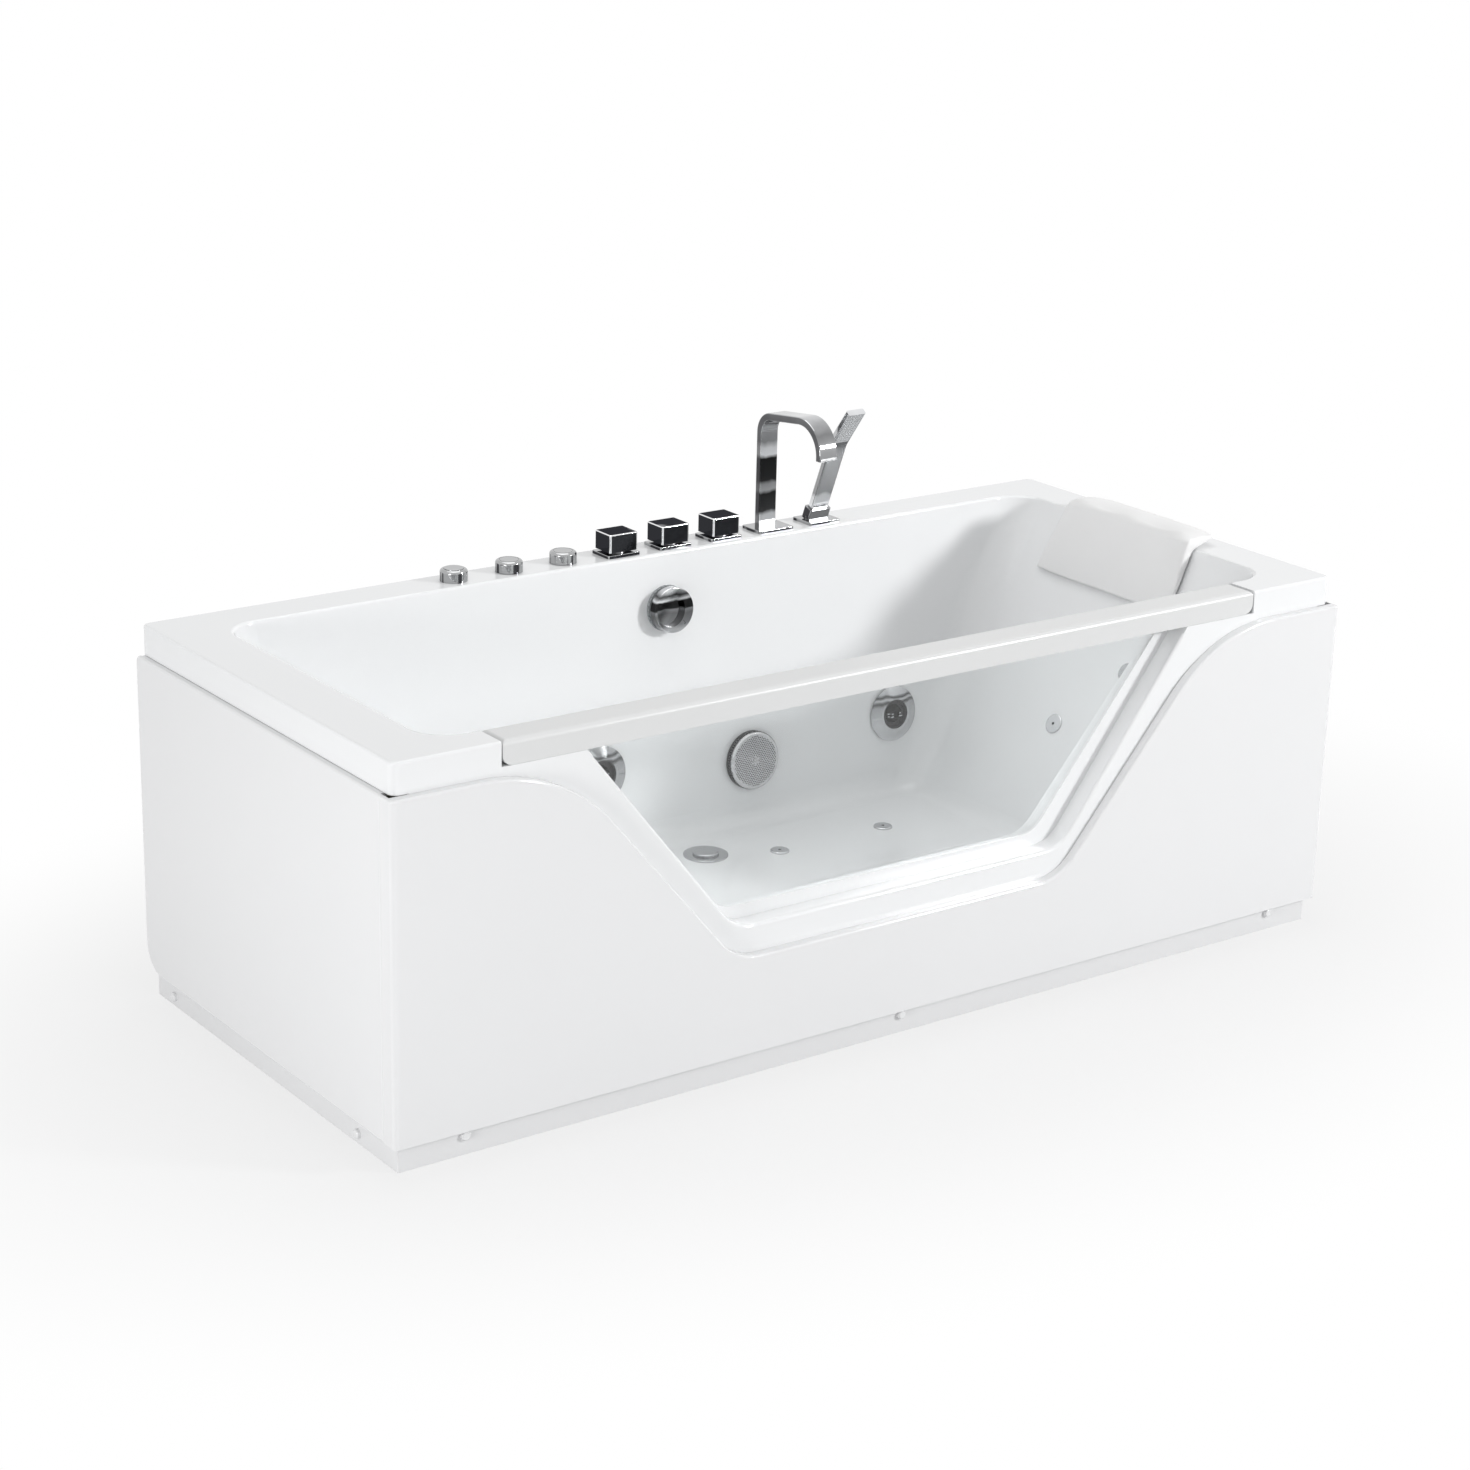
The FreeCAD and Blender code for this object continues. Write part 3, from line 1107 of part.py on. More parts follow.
def make_handle(x):
    half_x = HANDLE_SIZE[0] / 2
    half_y = HANDLE_SIZE[1] / 2
    handle = rounded_block(x - half_x, x + half_x, VALVE_Y - half_y, VALVE_Y + half_y, HANDLE_BOTTOM_Z,
                           HANDLE_TOP_Z, HANDLE_EDGE_R)
    top_edges = edges_where(handle, lambda edge: lies_at_z(edge, HANDLE_TOP_Z))
    handle = handle.makeFillet(HANDLE_TOP_EDGE_R, top_edges)
    bore_r = SHANK_BORE_R / 2 + STEM_FIT
    return handle.cut(rod(bore_r, vec(x, VALVE_Y, HANDLE_BOTTOM_Z - 1), vec(x, VALVE_Y, VALVE_STEM_TOP_Z + 1)))


nodes["valve_bodies"] = Part.makeCompound([make_valve_body(x) for x in valve_xs])
for name, x in zip(("left_valve_handle", "middle_valve_handle", "right_valve_handle"), valve_xs):
    nodes[name] = make_handle(x)


# ================================================================ spout and hand shower
def rounded_strip(centre_y, centre_z, heading, width, thickness, corner_r, x):
    """A strap's section as a wire across its starting direction in the YZ plane."""
    across = AXIS_X.cross(heading).normalize()
    origin = vec(x, centre_y, centre_z)
    half_w = width / 2
    half_t = thickness / 2
    points = []
    for sign_w, sign_t in ((-1, -1), (1, -1), (1, 1), (-1, 1)):
        points.append(origin + AXIS_X * (sign_w * half_w) + across * (sign_t * half_t))
    middle = (points[3] + points[0]) * 0.5
    loop = [middle] + points + [middle]
    return Part.Wire(route(loop, [corner_r] * 4))


def strap(x, centreline, bends, width, thickness, corner_r):
    points = [vec(x, y, z) for y, z in centreline]
    path = Part.Wire(route(points, bends))
    heading = (points[1] - points[0]).normalize()
    section = rounded_strip(centreline[0][0], centreline[0][1], heading, width, thickness, corner_r, x)
    return path.makePipeShell([section], True, False)


def make_spout():
    bar = strap(spout_x, SPOUT_ROUTE, SPOUT_BENDS, STRAP_WIDTH, SPOUT_T, SPOUT_CORNER_R)
    end_y, end_z = SPOUT_ROUTE[-1]
    width, depth, height = SPOUT_SLOT
    slot = block(spout_x - width / 2, spout_x + width / 2, end_y - depth / 2, end_y + depth / 2, end_z - 1,
                 end_z + height)
    foot_y, foot_z = SPOUT_ROUTE[0]
    stem = rod(SPOUT_T / 2 - 1, vec(spout_x, foot_y, SHANK_LOW_Z), vec(spout_x, foot_y, foot_z + 1))
    return joined([bar.cut(slot), stem])


nodes["spout"] = make_spout()
spout_stem = rod(SPOUT_T / 2 - 1 + CLIP_GAP, vec(spout_x, SPOUT_ROUTE[0][0], SHANK_LOW_Z - 1),
                 vec(spout_x, SPOUT_ROUTE[0][0], PLATE_TOP_Z + 1))
spout_base = deck_plate(spout_x, SPOUT_PLATE, SHANK_R - 1)
spout_base = joined([spout_base, shank(spout_x, VALVE_Y, PLATE_TOP_Z)]).cut(spout_stem)
nodes["spout_plate"] = spout_base

wand_route = (WAND_FOOT, WAND_KNEE, WAND_TIP)
wand_up = vec(0, WAND_KNEE[0] - WAND_FOOT[0], WAND_KNEE[1] - WAND_FOOT[1]).normalize()
head_up = vec(0, WAND_TIP[0] - WAND_KNEE[0], WAND_TIP[1] - WAND_KNEE[1]).normalize()


def make_wand():
    wand = strap(shower_x, wand_route, [WAND_BEND], STRAP_WIDTH, WAND_T, WAND_CORNER_R)
    tip = vec(shower_x, WAND_TIP[0], WAND_TIP[1])
    face_frame = local_frame(tip, AXIS_X, head_up)
    front = WAND_T / 2
    top = -SPRAY_FROM_TIP
    low = top - SPRAY_LENGTH
    half_width = SPRAY_WIDTH / 2
    face = rounded_block(-half_width, half_width, low, top, front - SPRAY_T, front, WAND_CORNER_R)
    face = placed(face, face_frame)
    pores = []
    for row in range(SPRAY_ROWS):
        for column in range(SPRAY_COLUMNS):
            px = SPRAY_PITCH * (column - (SPRAY_COLUMNS - 1) / 2)
            py = (top + low) / 2 + SPRAY_PITCH * (row - (SPRAY_ROWS - 1) / 2)
            pore = rod(SPRAY_HOLE_R, vec(px, py, front - 1), vec(px, py, front + 1))
            pores.append(placed(pore, face_frame))
    return wand.cut(face), face.cut(pores)


nodes["hand_shower"], nodes["shower_spray_face"] = make_wand()


def make_shower_base():
    plate = joined([deck_plate(shower_x, SHOWER_PLATE, SHANK_R - 1), shank(shower_x, VALVE_Y, PLATE_TOP_Z)])
    foot = vec(shower_x, WAND_FOOT[0], WAND_FOOT[1])
    frame = local_frame(foot, AXIS_X, wand_up)
    half_w = STRAP_WIDTH / 2 + SOCKET_FIT
    half_t = WAND_T / 2 + SOCKET_FIT
    collar = block(-half_w - SOCKET_WALL, half_w + SOCKET_WALL, -2 * SOCKET_WALL, SOCKET_DEPTH,
                   -half_t - SOCKET_WALL,
                   half_t + SOCKET_WALL)
    long_edges = edges_where(collar, lambda edge: edge.BoundBox.YLength > SOCKET_DEPTH)
    collar = collar.makeFillet(SOCKET_WALL - 1, long_edges)
    pocket = block(-half_w, half_w, -SOCKET_FIT, SOCKET_DEPTH + 1, -half_t, half_t)
    collar = placed(collar, frame)
    keep = block(shower_x - 2 * STRAP_WIDTH, shower_x + 2 * STRAP_WIDTH, 0, BACK_Y,
                 RIM_TOP_Z + 1, RIM_TOP_Z * 2)
    return joined([plate, collar.common(keep)]).cut(placed(pocket, frame))


nodes["shower_plate"] = make_shower_base()

# ================================================================ overflow
def wall_rod(radius, low, high):
    return rod(radius, vec(0, 0, low), vec(0, 0, high))


def cup_with_wall(radius, depth):
    inner = wall_rod(radius - CUP_WALL, -depth + CUP_WALL, CUP_START - CUP_WALL)
    return wall_rod(radius, -depth, CUP_START).cut(inner)


def make_overflow_knob():
    knob = wall_rod(OVERFLOW_KNOB_R, OVERFLOW_KNOB_BASE, OVERFLOW_PROUD)
    rim = edges_where(knob, lambda edge: lies_at_z(edge, OVERFLOW_PROUD))
    knob = knob.makeFillet(OVERFLOW_KNOB_EDGE_R, rim)
    floor = OVERFLOW_PROUD - OVERFLOW_BOWL_DEPTH
    bowl = wall_rod(OVERFLOW_BOWL_R, floor, OVERFLOW_PROUD + 1)
    bowl.translate(vec(OVERFLOW_BOWL_X, 0, 0))
    reach = OVERFLOW_KNOB_R
    above_lip = block(-reach, reach, OVERFLOW_LIP_HEIGHT, reach, 0, OVERFLOW_PROUD + 2)
    bore = wall_rod(OVERFLOW_STEM_R + STEM_FIT, 0, floor - 1)
    mark_inner, mark_outer, mark_angle = OVERFLOW_MARK
    mark = block(mark_inner, mark_outer, -CUP_WALL / 2, CUP_WALL / 2, OVERFLOW_PROUD - 1, OVERFLOW_PROUD + 1)
    mark.rotate(vec(0, 0, 0), AXIS_Z, mark_angle)
    return placed(knob.cut([bowl.cut(above_lip), bore, mark]), overflow_frame)


def make_overflow_body():
    base = joined([
        wall_rod(OVERFLOW_FLANGE_R, 0, OVERFLOW_FLANGE_T),
        wall_rod(OVERFLOW_SHANK_R, -SHELL_T - 1, 1),
        wall_rod(OVERFLOW_STEM_R, 0, OVERFLOW_KNOB_BASE + CUP_WALL),
        cup_with_wall(OVERFLOW_CUP_R, OVERFLOW_CUP_DEPTH),
    ])
    waterway = rod(CUP_WALL + 1, vec(OVERFLOW_STEM_R * 2, 0, -OVERFLOW_SHANK_R),
                   vec(OVERFLOW_STEM_R * 2, 0, OVERFLOW_PROUD))
    notch = block(OVERFLOW_FLANGE_R - OVERFLOW_NOTCH, OVERFLOW_FLANGE_R + 1, -OVERFLOW_NOTCH / 2,
                  OVERFLOW_NOTCH / 2, OVERFLOW_NOTCH, OVERFLOW_FLANGE_T + 1)
    tools = ring_of(waterway, OVERFLOW_WATERWAYS, vec(0, 0, 0), AXIS_Z)
    tools += ring_of(notch, OVERFLOW_NOTCHES, vec(0, 0, 0), AXIS_Z)
    base = placed(base.cut(tools), overflow_frame)
    mouth = rod(OVERFLOW_PIPE_BORE_R, vec(OVERFLOW_X, OVERFLOW_PIPE_Y, OVERFLOW_Z - 2 * OVERFLOW_CUP_R),
                vec(OVERFLOW_X, OVERFLOW_PIPE_Y, OVERFLOW_Z))
    socket = rod(OVERFLOW_PIPE_R, vec(OVERFLOW_X, OVERFLOW_PIPE_Y, 0),
                 vec(OVERFLOW_X, OVERFLOW_PIPE_Y, OVERFLOW_Z - OVERFLOW_CUP_R + 2 * CUP_WALL))
    return base.cut([mouth, socket])


nodes["overflow_knob"] = make_overflow_knob()
nodes["overflow_body"] = make_overflow_body()
overflow_low = vec(OVERFLOW_X, OVERFLOW_PIPE_Y, OVERFLOW_PIPE_LOW_Z)
nodes["overflow_pipe"] = pipe([
    vec(OVERFLOW_X, OVERFLOW_PIPE_Y, OVERFLOW_Z - OVERFLOW_CUP_R + 2 * CUP_WALL),
    overflow_low,
    vec(OVERFLOW_X, DRAIN_Y + TRAP_R - TRAP_WALL + 1, OVERFLOW_PIPE_LOW_Z),
], OVERFLOW_PIPE_BEND, OVERFLOW_PIPE_R, OVERFLOW_PIPE_BORE_R)


# ================================================================ drain
def drain_rod(radius, low_z, high_z):
    return rod(radius, vec(DRAIN_X, DRAIN_Y, low_z), vec(DRAIN_X, DRAIN_Y, high_z))


def make_drain_flange():
    flange = drain_rod(DRAIN_FLANGE_R, BASIN_FLOOR_Z, BASIN_FLOOR_Z + DRAIN_FLANGE_T)
    top = BASIN_FLOOR_Z + DRAIN_FLANGE_T
    flange = flange.makeFillet(DRAIN_FLANGE_T / 2, edges_where(flange, lambda edge: lies_at_z(edge, top)))
    body = joined([flange, drain_rod(DRAIN_SHANK_R, DRAIN_SHANK_LOW_Z, BASIN_FLOOR_Z)])
    body = body.cut(drain_rod(DRAIN_BORE_R, 0, RIM_TOP_Z))
    bar_top = DRAIN_SPIDER_Z + DRAIN_SPIDER_T
    bars = [block(DRAIN_X - DRAIN_BORE_R - 1, DRAIN_X + DRAIN_BORE_R + 1, DRAIN_Y - CUP_WALL / 2,
                  DRAIN_Y + CUP_WALL / 2, DRAIN_SPIDER_Z, bar_top),
            block(DRAIN_X - CUP_WALL / 2, DRAIN_X + CUP_WALL / 2, DRAIN_Y - DRAIN_BORE_R - 1,
                  DRAIN_Y + DRAIN_BORE_R + 1, DRAIN_SPIDER_Z, bar_top),
            drain_rod(DRAIN_SPIDER_R, DRAIN_SPIDER_Z, bar_top)]
    return joined([body] + bars).cut(drain_rod(DRAIN_STEM_R + STEM_FIT, 0, RIM_TOP_Z))


def make_stopper():
    cap_top = DRAIN_CAP_Z + DRAIN_CAP_T
    cap = drain_rod(DRAIN_CAP_R, DRAIN_CAP_Z, cap_top)
    cap = cap.makeFillet(DRAIN_CAP_T / 2, edges_where(cap, lambda edge: lies_at_z(edge, cap_top)))
    return joined([cap, drain_rod(DRAIN_SKIRT_R, DRAIN_SKIRT_Z, DRAIN_CAP_Z),
                   drain_rod(DRAIN_STEM_R, DRAIN_STEM_LOW_Z, DRAIN_CAP_Z)])


def make_trap():
    body = drain_rod(TRAP_R, TRAP_BOTTOM_Z, TRAP_TOP_Z)
    outlet_end = vec(DRAIN_X, TRAP_OUTLET_END_Y, TRAP_OUTLET_Z)
    outlet_root = vec(DRAIN_X, TRAP_OUTLET_ROOT_Y, TRAP_OUTLET_Z)
    centre = vec(DRAIN_X, DRAIN_Y, TRAP_OUTLET_Z)
    inlet_start = vec(OVERFLOW_X, DRAIN_Y, OVERFLOW_PIPE_LOW_Z)
    inlet_end = vec(OVERFLOW_X, DRAIN_Y + 2 * TRAP_R, OVERFLOW_PIPE_LOW_Z)
    hollow = drain_rod(TRAP_R - TRAP_WALL, TRAP_BOTTOM_Z + TRAP_WALL, TRAP_TOP_Z - TRAP_WALL)
    mouth = drain_rod(DRAIN_SHANK_R, TRAP_TOP_Z - 2 * TRAP_WALL, TRAP_TOP_Z + 1)
    dip = sleeve(DRAIN_BORE_R, DRAIN_BORE_R - TRAP_WALL / 2,
                 vec(DRAIN_X, DRAIN_Y, TRAP_OUTLET_Z - TRAP_OUTLET_R / 2),
                 vec(DRAIN_X, DRAIN_Y, DRAIN_SHANK_LOW_Z))
    outer = joined([body, rod(TRAP_OUTLET_ROOT_R, centre, outlet_root),
                    rod(TRAP_OUTLET_R, centre, outlet_end)])
    waterway = [hollow, mouth, rod(TRAP_OUTLET_BORE_R, centre, outlet_end + AXIS_Y),
                rod(OVERFLOW_PIPE_R, inlet_start, inlet_end)]
    outer = outer.cut(waterway)
    floor_slab = drain_rod(TRAP_R - 1, DRAIN_SHANK_LOW_Z - TRAP_WALL, DRAIN_SHANK_LOW_Z)
    floor_slab = floor_slab.cut([drain_rod(DRAIN_BORE_R - TRAP_WALL / 2, 0, TRAP_TOP_Z),
                                 rod(OVERFLOW_PIPE_R, inlet_start, inlet_end)])
    return joined([outer, dip, floor_slab])


nodes["drain_flange"] = make_drain_flange()
nodes["drain_stopper"] = make_stopper()
nodes["drain_trap"] = make_trap()


# ================================================================ suction fitting
def make_suction_cover():
    cover = wall_rod(SUCTION_COVER_R, 1, SUCTION_PROUD)
    cover = cover.makeFillet(SUCTION_EDGE_R, edges_where(cover, lambda edge: lies_at_z(edge, SUCTION_PROUD)))
    cover = cover.cut(wall_rod(SUCTION_COVER_R - SUCTION_SHELL_T, 0, SUCTION_PROUD - SUCTION_SHELL_T))
    boss = wall_rod(SUCTION_BOSS_R, SUCTION_FLANGE_T, SUCTION_PROUD - SUCTION_SHELL_T)
    cover = joined([cover, boss])
    slot = block(SUCTION_COVER_R - 2 * SUCTION_SHELL_T, SUCTION_COVER_R + 1, -SUCTION_SLOT_W / 2,
                 SUCTION_SLOT_W / 2, SUCTION_SHELL_T, SUCTION_SHELL_T + SUCTION_SLOT_H)
    tools = ring_of(slot, SUCTION_SLOTS, vec(0, 0, 0), AXIS_Z)
    row_pitch = SUCTION_PORE_PITCH * math.sqrt(3) / 2
    reach = int(SUCTION_PORE_FIELD_R / row_pitch) + 1
    for row in range(-reach, reach + 1):
        for column in range(-reach - 1, reach + 2):
            x = SUCTION_PORE_PITCH * (column + (row % 2) / 2)
            y = row_pitch * row
            distance = math.hypot(x, y)
            if SUCTION_BOSS_R + SUCTION_PORE_R < distance < SUCTION_PORE_FIELD_R:
                tools.append(rod(SUCTION_PORE_R, vec(x, y, SUCTION_FLANGE_T), vec(x, y, SUCTION_PROUD + 1)))
    tools.append(wall_rod(SUCTION_SCREW_R, 0, SUCTION_PROUD + 1))
    tools.append(wall_rod(SUCTION_SCREW_HEAD_R + CLIP_GAP,
                          SUCTION_PROUD - SUCTION_SHELL_T / 2, SUCTION_PROUD + 1))
    return placed(cover.cut(tools), suction_frame)


def make_suction_body():
    body = joined([
        wall_rod(SUCTION_FLANGE_R, 0, SUCTION_FLANGE_T),
        wall_rod(SUCTION_SHANK_R, -SHELL_T - 1, 1),
        wall_rod(SUCTION_CUP_R, -SUCTION_CUP_DEPTH, CUP_START),
    ])
    hollow = wall_rod(SUCTION_SHANK_R - CUP_WALL, CUP_WALL - SUCTION_CUP_DEPTH, SUCTION_FLANGE_T + 1)
    hub = wall_rod(SUCTION_BOSS_R, -SHELL_T, SUCTION_FLANGE_T)
    spoke = block(-SUCTION_SHANK_R, SUCTION_SHANK_R, -CUP_WALL / 2, CUP_WALL / 2,
                  -SHELL_T, SUCTION_FLANGE_T - 1)
    body = joined([body.cut(hollow), hub, spoke])
    port = rod(SUCTION_PIPE_R, vec(0, 0, -SUCTION_PIPE_DEPTH), vec(SUCTION_CUP_R + 1, 0, -SUCTION_PIPE_DEPTH))
    screw_hole = wall_rod(SUCTION_SCREW_R, -SHELL_T - 1, SUCTION_FLANGE_T + 1)
    return placed(body.cut([port, screw_hole]), suction_frame)


def make_suction_screw():
    head = wall_rod(SUCTION_SCREW_HEAD_R, SUCTION_PROUD - SUCTION_SHELL_T / 2, SUCTION_PROUD + 1)
    slot = block(-SUCTION_SCREW_HEAD_R, SUCTION_SCREW_HEAD_R, -CUP_WALL / 4, CUP_WALL / 4, SUCTION_PROUD,
                 SUCTION_PROUD + 2)
    screw = joined([head.cut(slot), wall_rod(SUCTION_SCREW_R, -SHELL_T, SUCTION_PROUD)])
    return placed(screw, suction_frame)


nodes["suction_cover"] = make_suction_cover()
nodes["suction_body"] = make_suction_body()
nodes["suction_screw"] = make_suction_screw()


# ================================================================ water jets
def make_jet_ring(frame):
    dome = Part.makeCone(JET_RING_R, JET_RING_CROWN_R, JET_RING_PROUD - JET_RING_EDGE_Z,
                         vec(0, 0, JET_RING_EDGE_Z))
    ring = joined([wall_rod(JET_RING_R, JET_RING_BASE, JET_RING_EDGE_Z), dome])
    return placed(ring.cut(wall_rod(JET_RING_INNER_R, 0, JET_RING_PROUD + 1)), frame)


def make_jet_body(frame):
    body = joined([
        wall_rod(JET_FLANGE_R, 0, JET_FLANGE_T),
        wall_rod(JET_BODY_R, -JET_BODY_DEPTH, 1),
        rod(JET_SPIGOT_R, vec(0, 0, -JET_SPIGOT_DEPTH), vec(0, JET_BODY_R + CUP_WALL, -JET_SPIGOT_DEPTH)),
    ])
    lip = sleeve(JET_LIP_R, JET_LIP_R - CUP_WALL / 2, vec(0, 0, JET_FLANGE_T), vec(0, 0, JET_RING_PROUD - 1))
    ball = Part.makeSphere(JET_BALL_R + JET_BALL_FIT, vec(0, 0, -JET_BALL_SINK))
    tools = [
        ball,
        wall_rod(JET_BORE_R, -JET_BODY_DEPTH + CUP_WALL, 0),
        rod(JET_SPIGOT_BORE_R, vec(0, 0, -JET_SPIGOT_DEPTH),
            vec(0, JET_BODY_R + CUP_WALL + 1, -JET_SPIGOT_DEPTH)),
        rod(JET_AIR_R, vec(JET_AIR_OFFSET[0], JET_AIR_OFFSET[1], -JET_BODY_DEPTH - 1),
            vec(JET_AIR_OFFSET[0], JET_AIR_OFFSET[1], -JET_BODY_DEPTH + CUP_WALL)),
    ]
    return placed(joined([body, lip]).cut(tools), frame)


def make_jet_nozzle(frame):
    ball = Part.makeSphere(JET_BALL_R, vec(0, 0, -JET_BALL_SINK))
    keep = wall_rod(JET_BALL_R + 1, -JET_BALL_SINK - JET_BALL_R / 2,
                    -JET_BALL_SINK + JET_BALL_R - JET_BALL_FRONT)
    nose = wall_rod(JET_NOZZLE_R, -JET_BALL_SINK + JET_BALL_R / 2, JET_NOZZLE_FRONT)
    lobe = wall_rod(JET_LOBE_R, JET_FLANGE_T, JET_NOZZLE_FRONT + 1)
    lobe.translate(vec(JET_NOZZLE_R + JET_LOBE_R / 4, 0, 0))
    nose = nose.cut(ring_of(lobe, JET_NOZZLE_LOBES, vec(0, 0, 0), AXIS_Z))
    nozzle = joined([ball.common(keep), nose])
    return placed(nozzle.cut(wall_rod(JET_BORE_R, -JET_BALL_SINK - JET_BALL_R, JET_NOZZLE_FRONT + 1)), frame)


nodes["jet_bodies"] = Part.makeCompound([make_jet_body(frame) for frame in jet_frames])
for side_name, frame in zip(("left", "right"), jet_frames):
    nodes[side_name + "_jet_ring"] = make_jet_ring(frame)
    nodes[side_name + "_jet_nozzle"] = make_jet_nozzle(frame)


# ================================================================ air jets
def air_jet(cap_r, cap_t, low):
    cap = wall_rod(cap_r, 0, cap_t)
    cap = cap.makeFillet(cap_t - 1, edges_where(cap, lambda edge: lies_at_z(edge, cap_t)))
    body = joined([cap, wall_rod(AIR_JET_SHANK_R, low, 0)])
    return body.cut(wall_rod(AIR_JET_PORE_R, low - 1, cap_t + 1))


floor_jets = [placed(air_jet(AIR_JET_CAP_R, AIR_JET_CAP_T, AIR_JET_LOW_Z - BASIN_FLOOR_Z),
                     FreeCAD.Placement(vec(x, y, BASIN_FLOOR_Z), FreeCAD.Rotation()))
              for x, y in air_jet_points]
slope_jets = [placed(air_jet(SLOPE_JET_CAP_R, AIR_JET_CAP_T, -SLOPE_JET_TAIL), frame)
              for frame in slope_jet_frames]
nodes["air_jets"] = Part.makeCompound(floor_jets + slope_jets)


# ================================================================ pump
def along_y(radius, x, z, y0, y1):
    return rod(radius, vec(x, y0, z), vec(x, y1, z))


def blade(x, z, inner, outer, y0, y1):
    return block(x + inner, x + outer, y0, y1, z - BLADE_T / 2, z + BLADE_T / 2)


def make_volute():
    top = vec(PUMP_OUTLET_X, (VOLUTE_Y[0] + VOLUTE_Y[1]) / 2, pump_z + PUMP_OUTLET_RISE)
    outlet_foot = vec(top.x, top.y, pump_z)
    body = joined([along_y(VOLUTE_R, PUMP_X, pump_z, *VOLUTE_Y),
                   along_y(SUCTION_PIPE_R + CUP_WALL, PUMP_X, pump_z, VOLUTE_Y[1] - 1, PUMP_SPIGOT_END_Y),
                   rod(PUMP_OUTLET_R, outlet_foot, top)])
    tools = [along_y(VOLUTE_R - VOLUTE_WALL, PUMP_X, pump_z,
                     VOLUTE_Y[0] + VOLUTE_WALL, VOLUTE_Y[1] - VOLUTE_WALL),
             along_y(SUCTION_PIPE_R, PUMP_X, pump_z, VOLUTE_Y[1] - VOLUTE_WALL - 1, PUMP_SPIGOT_END_Y + 1),
             along_y(SHAFT_R + SHAFT_FIT, PUMP_X, pump_z, VOLUTE_Y[0] - 1, VOLUTE_Y[1] - VOLUTE_WALL),
             rod(PUMP_OUTLET_BORE_R, outlet_foot, top + AXIS_Z)]
    return body.cut(tools)


def saddle(x, z, radius, base, y0, y1, half_width):
    web = block(x - half_width, x + half_width, y0, y1, base, z)
    return web.cut(along_y(radius, x, z, y0 - 1, y1 + 1))


def make_motor_housing():
    housing = along_y(MOTOR_R, PUMP_X, pump_z, *MOTOR_Y)
    fin = block(PUMP_X + MOTOR_R - 1, PUMP_X + MOTOR_R + MOTOR_FIN_H, STATOR_Y[0], STATOR_Y[1],
                pump_z - MOTOR_FIN_T / 2, pump_z + MOTOR_FIN_T / 2)
    fins = ring_of(fin, MOTOR_FINS, vec(PUMP_X, 0, pump_z), AXIS_Y)
    housing = joined([housing] + fins)
    hollow = along_y(MOTOR_R - MOTOR_WALL, PUMP_X, pump_z, MOTOR_Y[0] + MOTOR_WALL, MOTOR_Y[1] - MOTOR_WALL)
    stator = along_y(MOTOR_R - MOTOR_WALL + 1, PUMP_X, pump_z, *STATOR_Y)
    stator = stator.cut(along_y(STATOR_INNER_R, PUMP_X, pump_z, *STATOR_Y))
    plate = block(*PUMP_BASE, board_low_z, board_low_z + BASE_T)
    webs = [saddle(PUMP_X, pump_z, MOTOR_R - 1, board_low_z + BASE_T - 1, y, y + SADDLE_T, SADDLE_HALF)
            for y in SADDLE_Y]
    housing = joined([housing.cut(hollow), stator, plate] + webs)
    return housing.cut(along_y(SHAFT_R + SHAFT_FIT, PUMP_X, pump_z, MOTOR_Y[0] - 1, MOTOR_Y[1] + 1))


def make_shaft():
    hub = along_y(FAN_HUB_R, PUMP_X, pump_z, *FAN_Y)
    blades = ring_of(blade(PUMP_X, pump_z, FAN_HUB_R - 1, FAN_R, *FAN_Y), FAN_BLADES, vec(PUMP_X, 0, pump_z),
                     AXIS_Y)
    rotor = along_y(ROTOR_R, PUMP_X, pump_z, STATOR_Y[0] + 2, STATOR_Y[1] - 2)
    return joined([along_y(SHAFT_R, PUMP_X, pump_z, *SHAFT_Y), rotor, hub] + blades)


def make_impeller():
    disc = along_y(IMPELLER_R, PUMP_X, pump_z, IMPELLER_Y[0], IMPELLER_Y[0] + IMPELLER_DISC_T)
    hub = along_y(FAN_HUB_R, PUMP_X, pump_z, *IMPELLER_Y)
    blades = ring_of(blade(PUMP_X, pump_z, FAN_HUB_R - 1, IMPELLER_R - 1, *IMPELLER_Y), FAN_BLADES,
                     vec(PUMP_X, 0, pump_z), AXIS_Y)
    return joined([disc, hub] + blades).cut(along_y(SHAFT_R, PUMP_X, pump_z, *SHAFT_Y))


def make_cowl():
    cowl = along_y(COWL_R, PUMP_X, pump_z, *COWL_Y)
    hollow = along_y(COWL_R - COWL_WALL, PUMP_X, pump_z, COWL_Y[0] + COWL_WALL, COWL_Y[1] + 1)
    slot = block(PUMP_X + COWL_SLOT_R[0], PUMP_X + COWL_SLOT_R[1], COWL_Y[0] - 1, COWL_Y[0] + COWL_WALL + 1,
                 pump_z - COWL_SLOT_W / 2, pump_z + COWL_SLOT_W / 2)
    slots = ring_of(slot, COWL_SLOTS, vec(PUMP_X, 0, pump_z), AXIS_Y)
    return cowl.cut([hollow] + slots)


nodes["pump_volute"] = make_volute()
nodes["pump_motor_housing"] = joined([make_motor_housing(), make_cowl()])
nodes["pump_shaft"] = make_shaft()
nodes["pump_impeller"] = make_impeller()


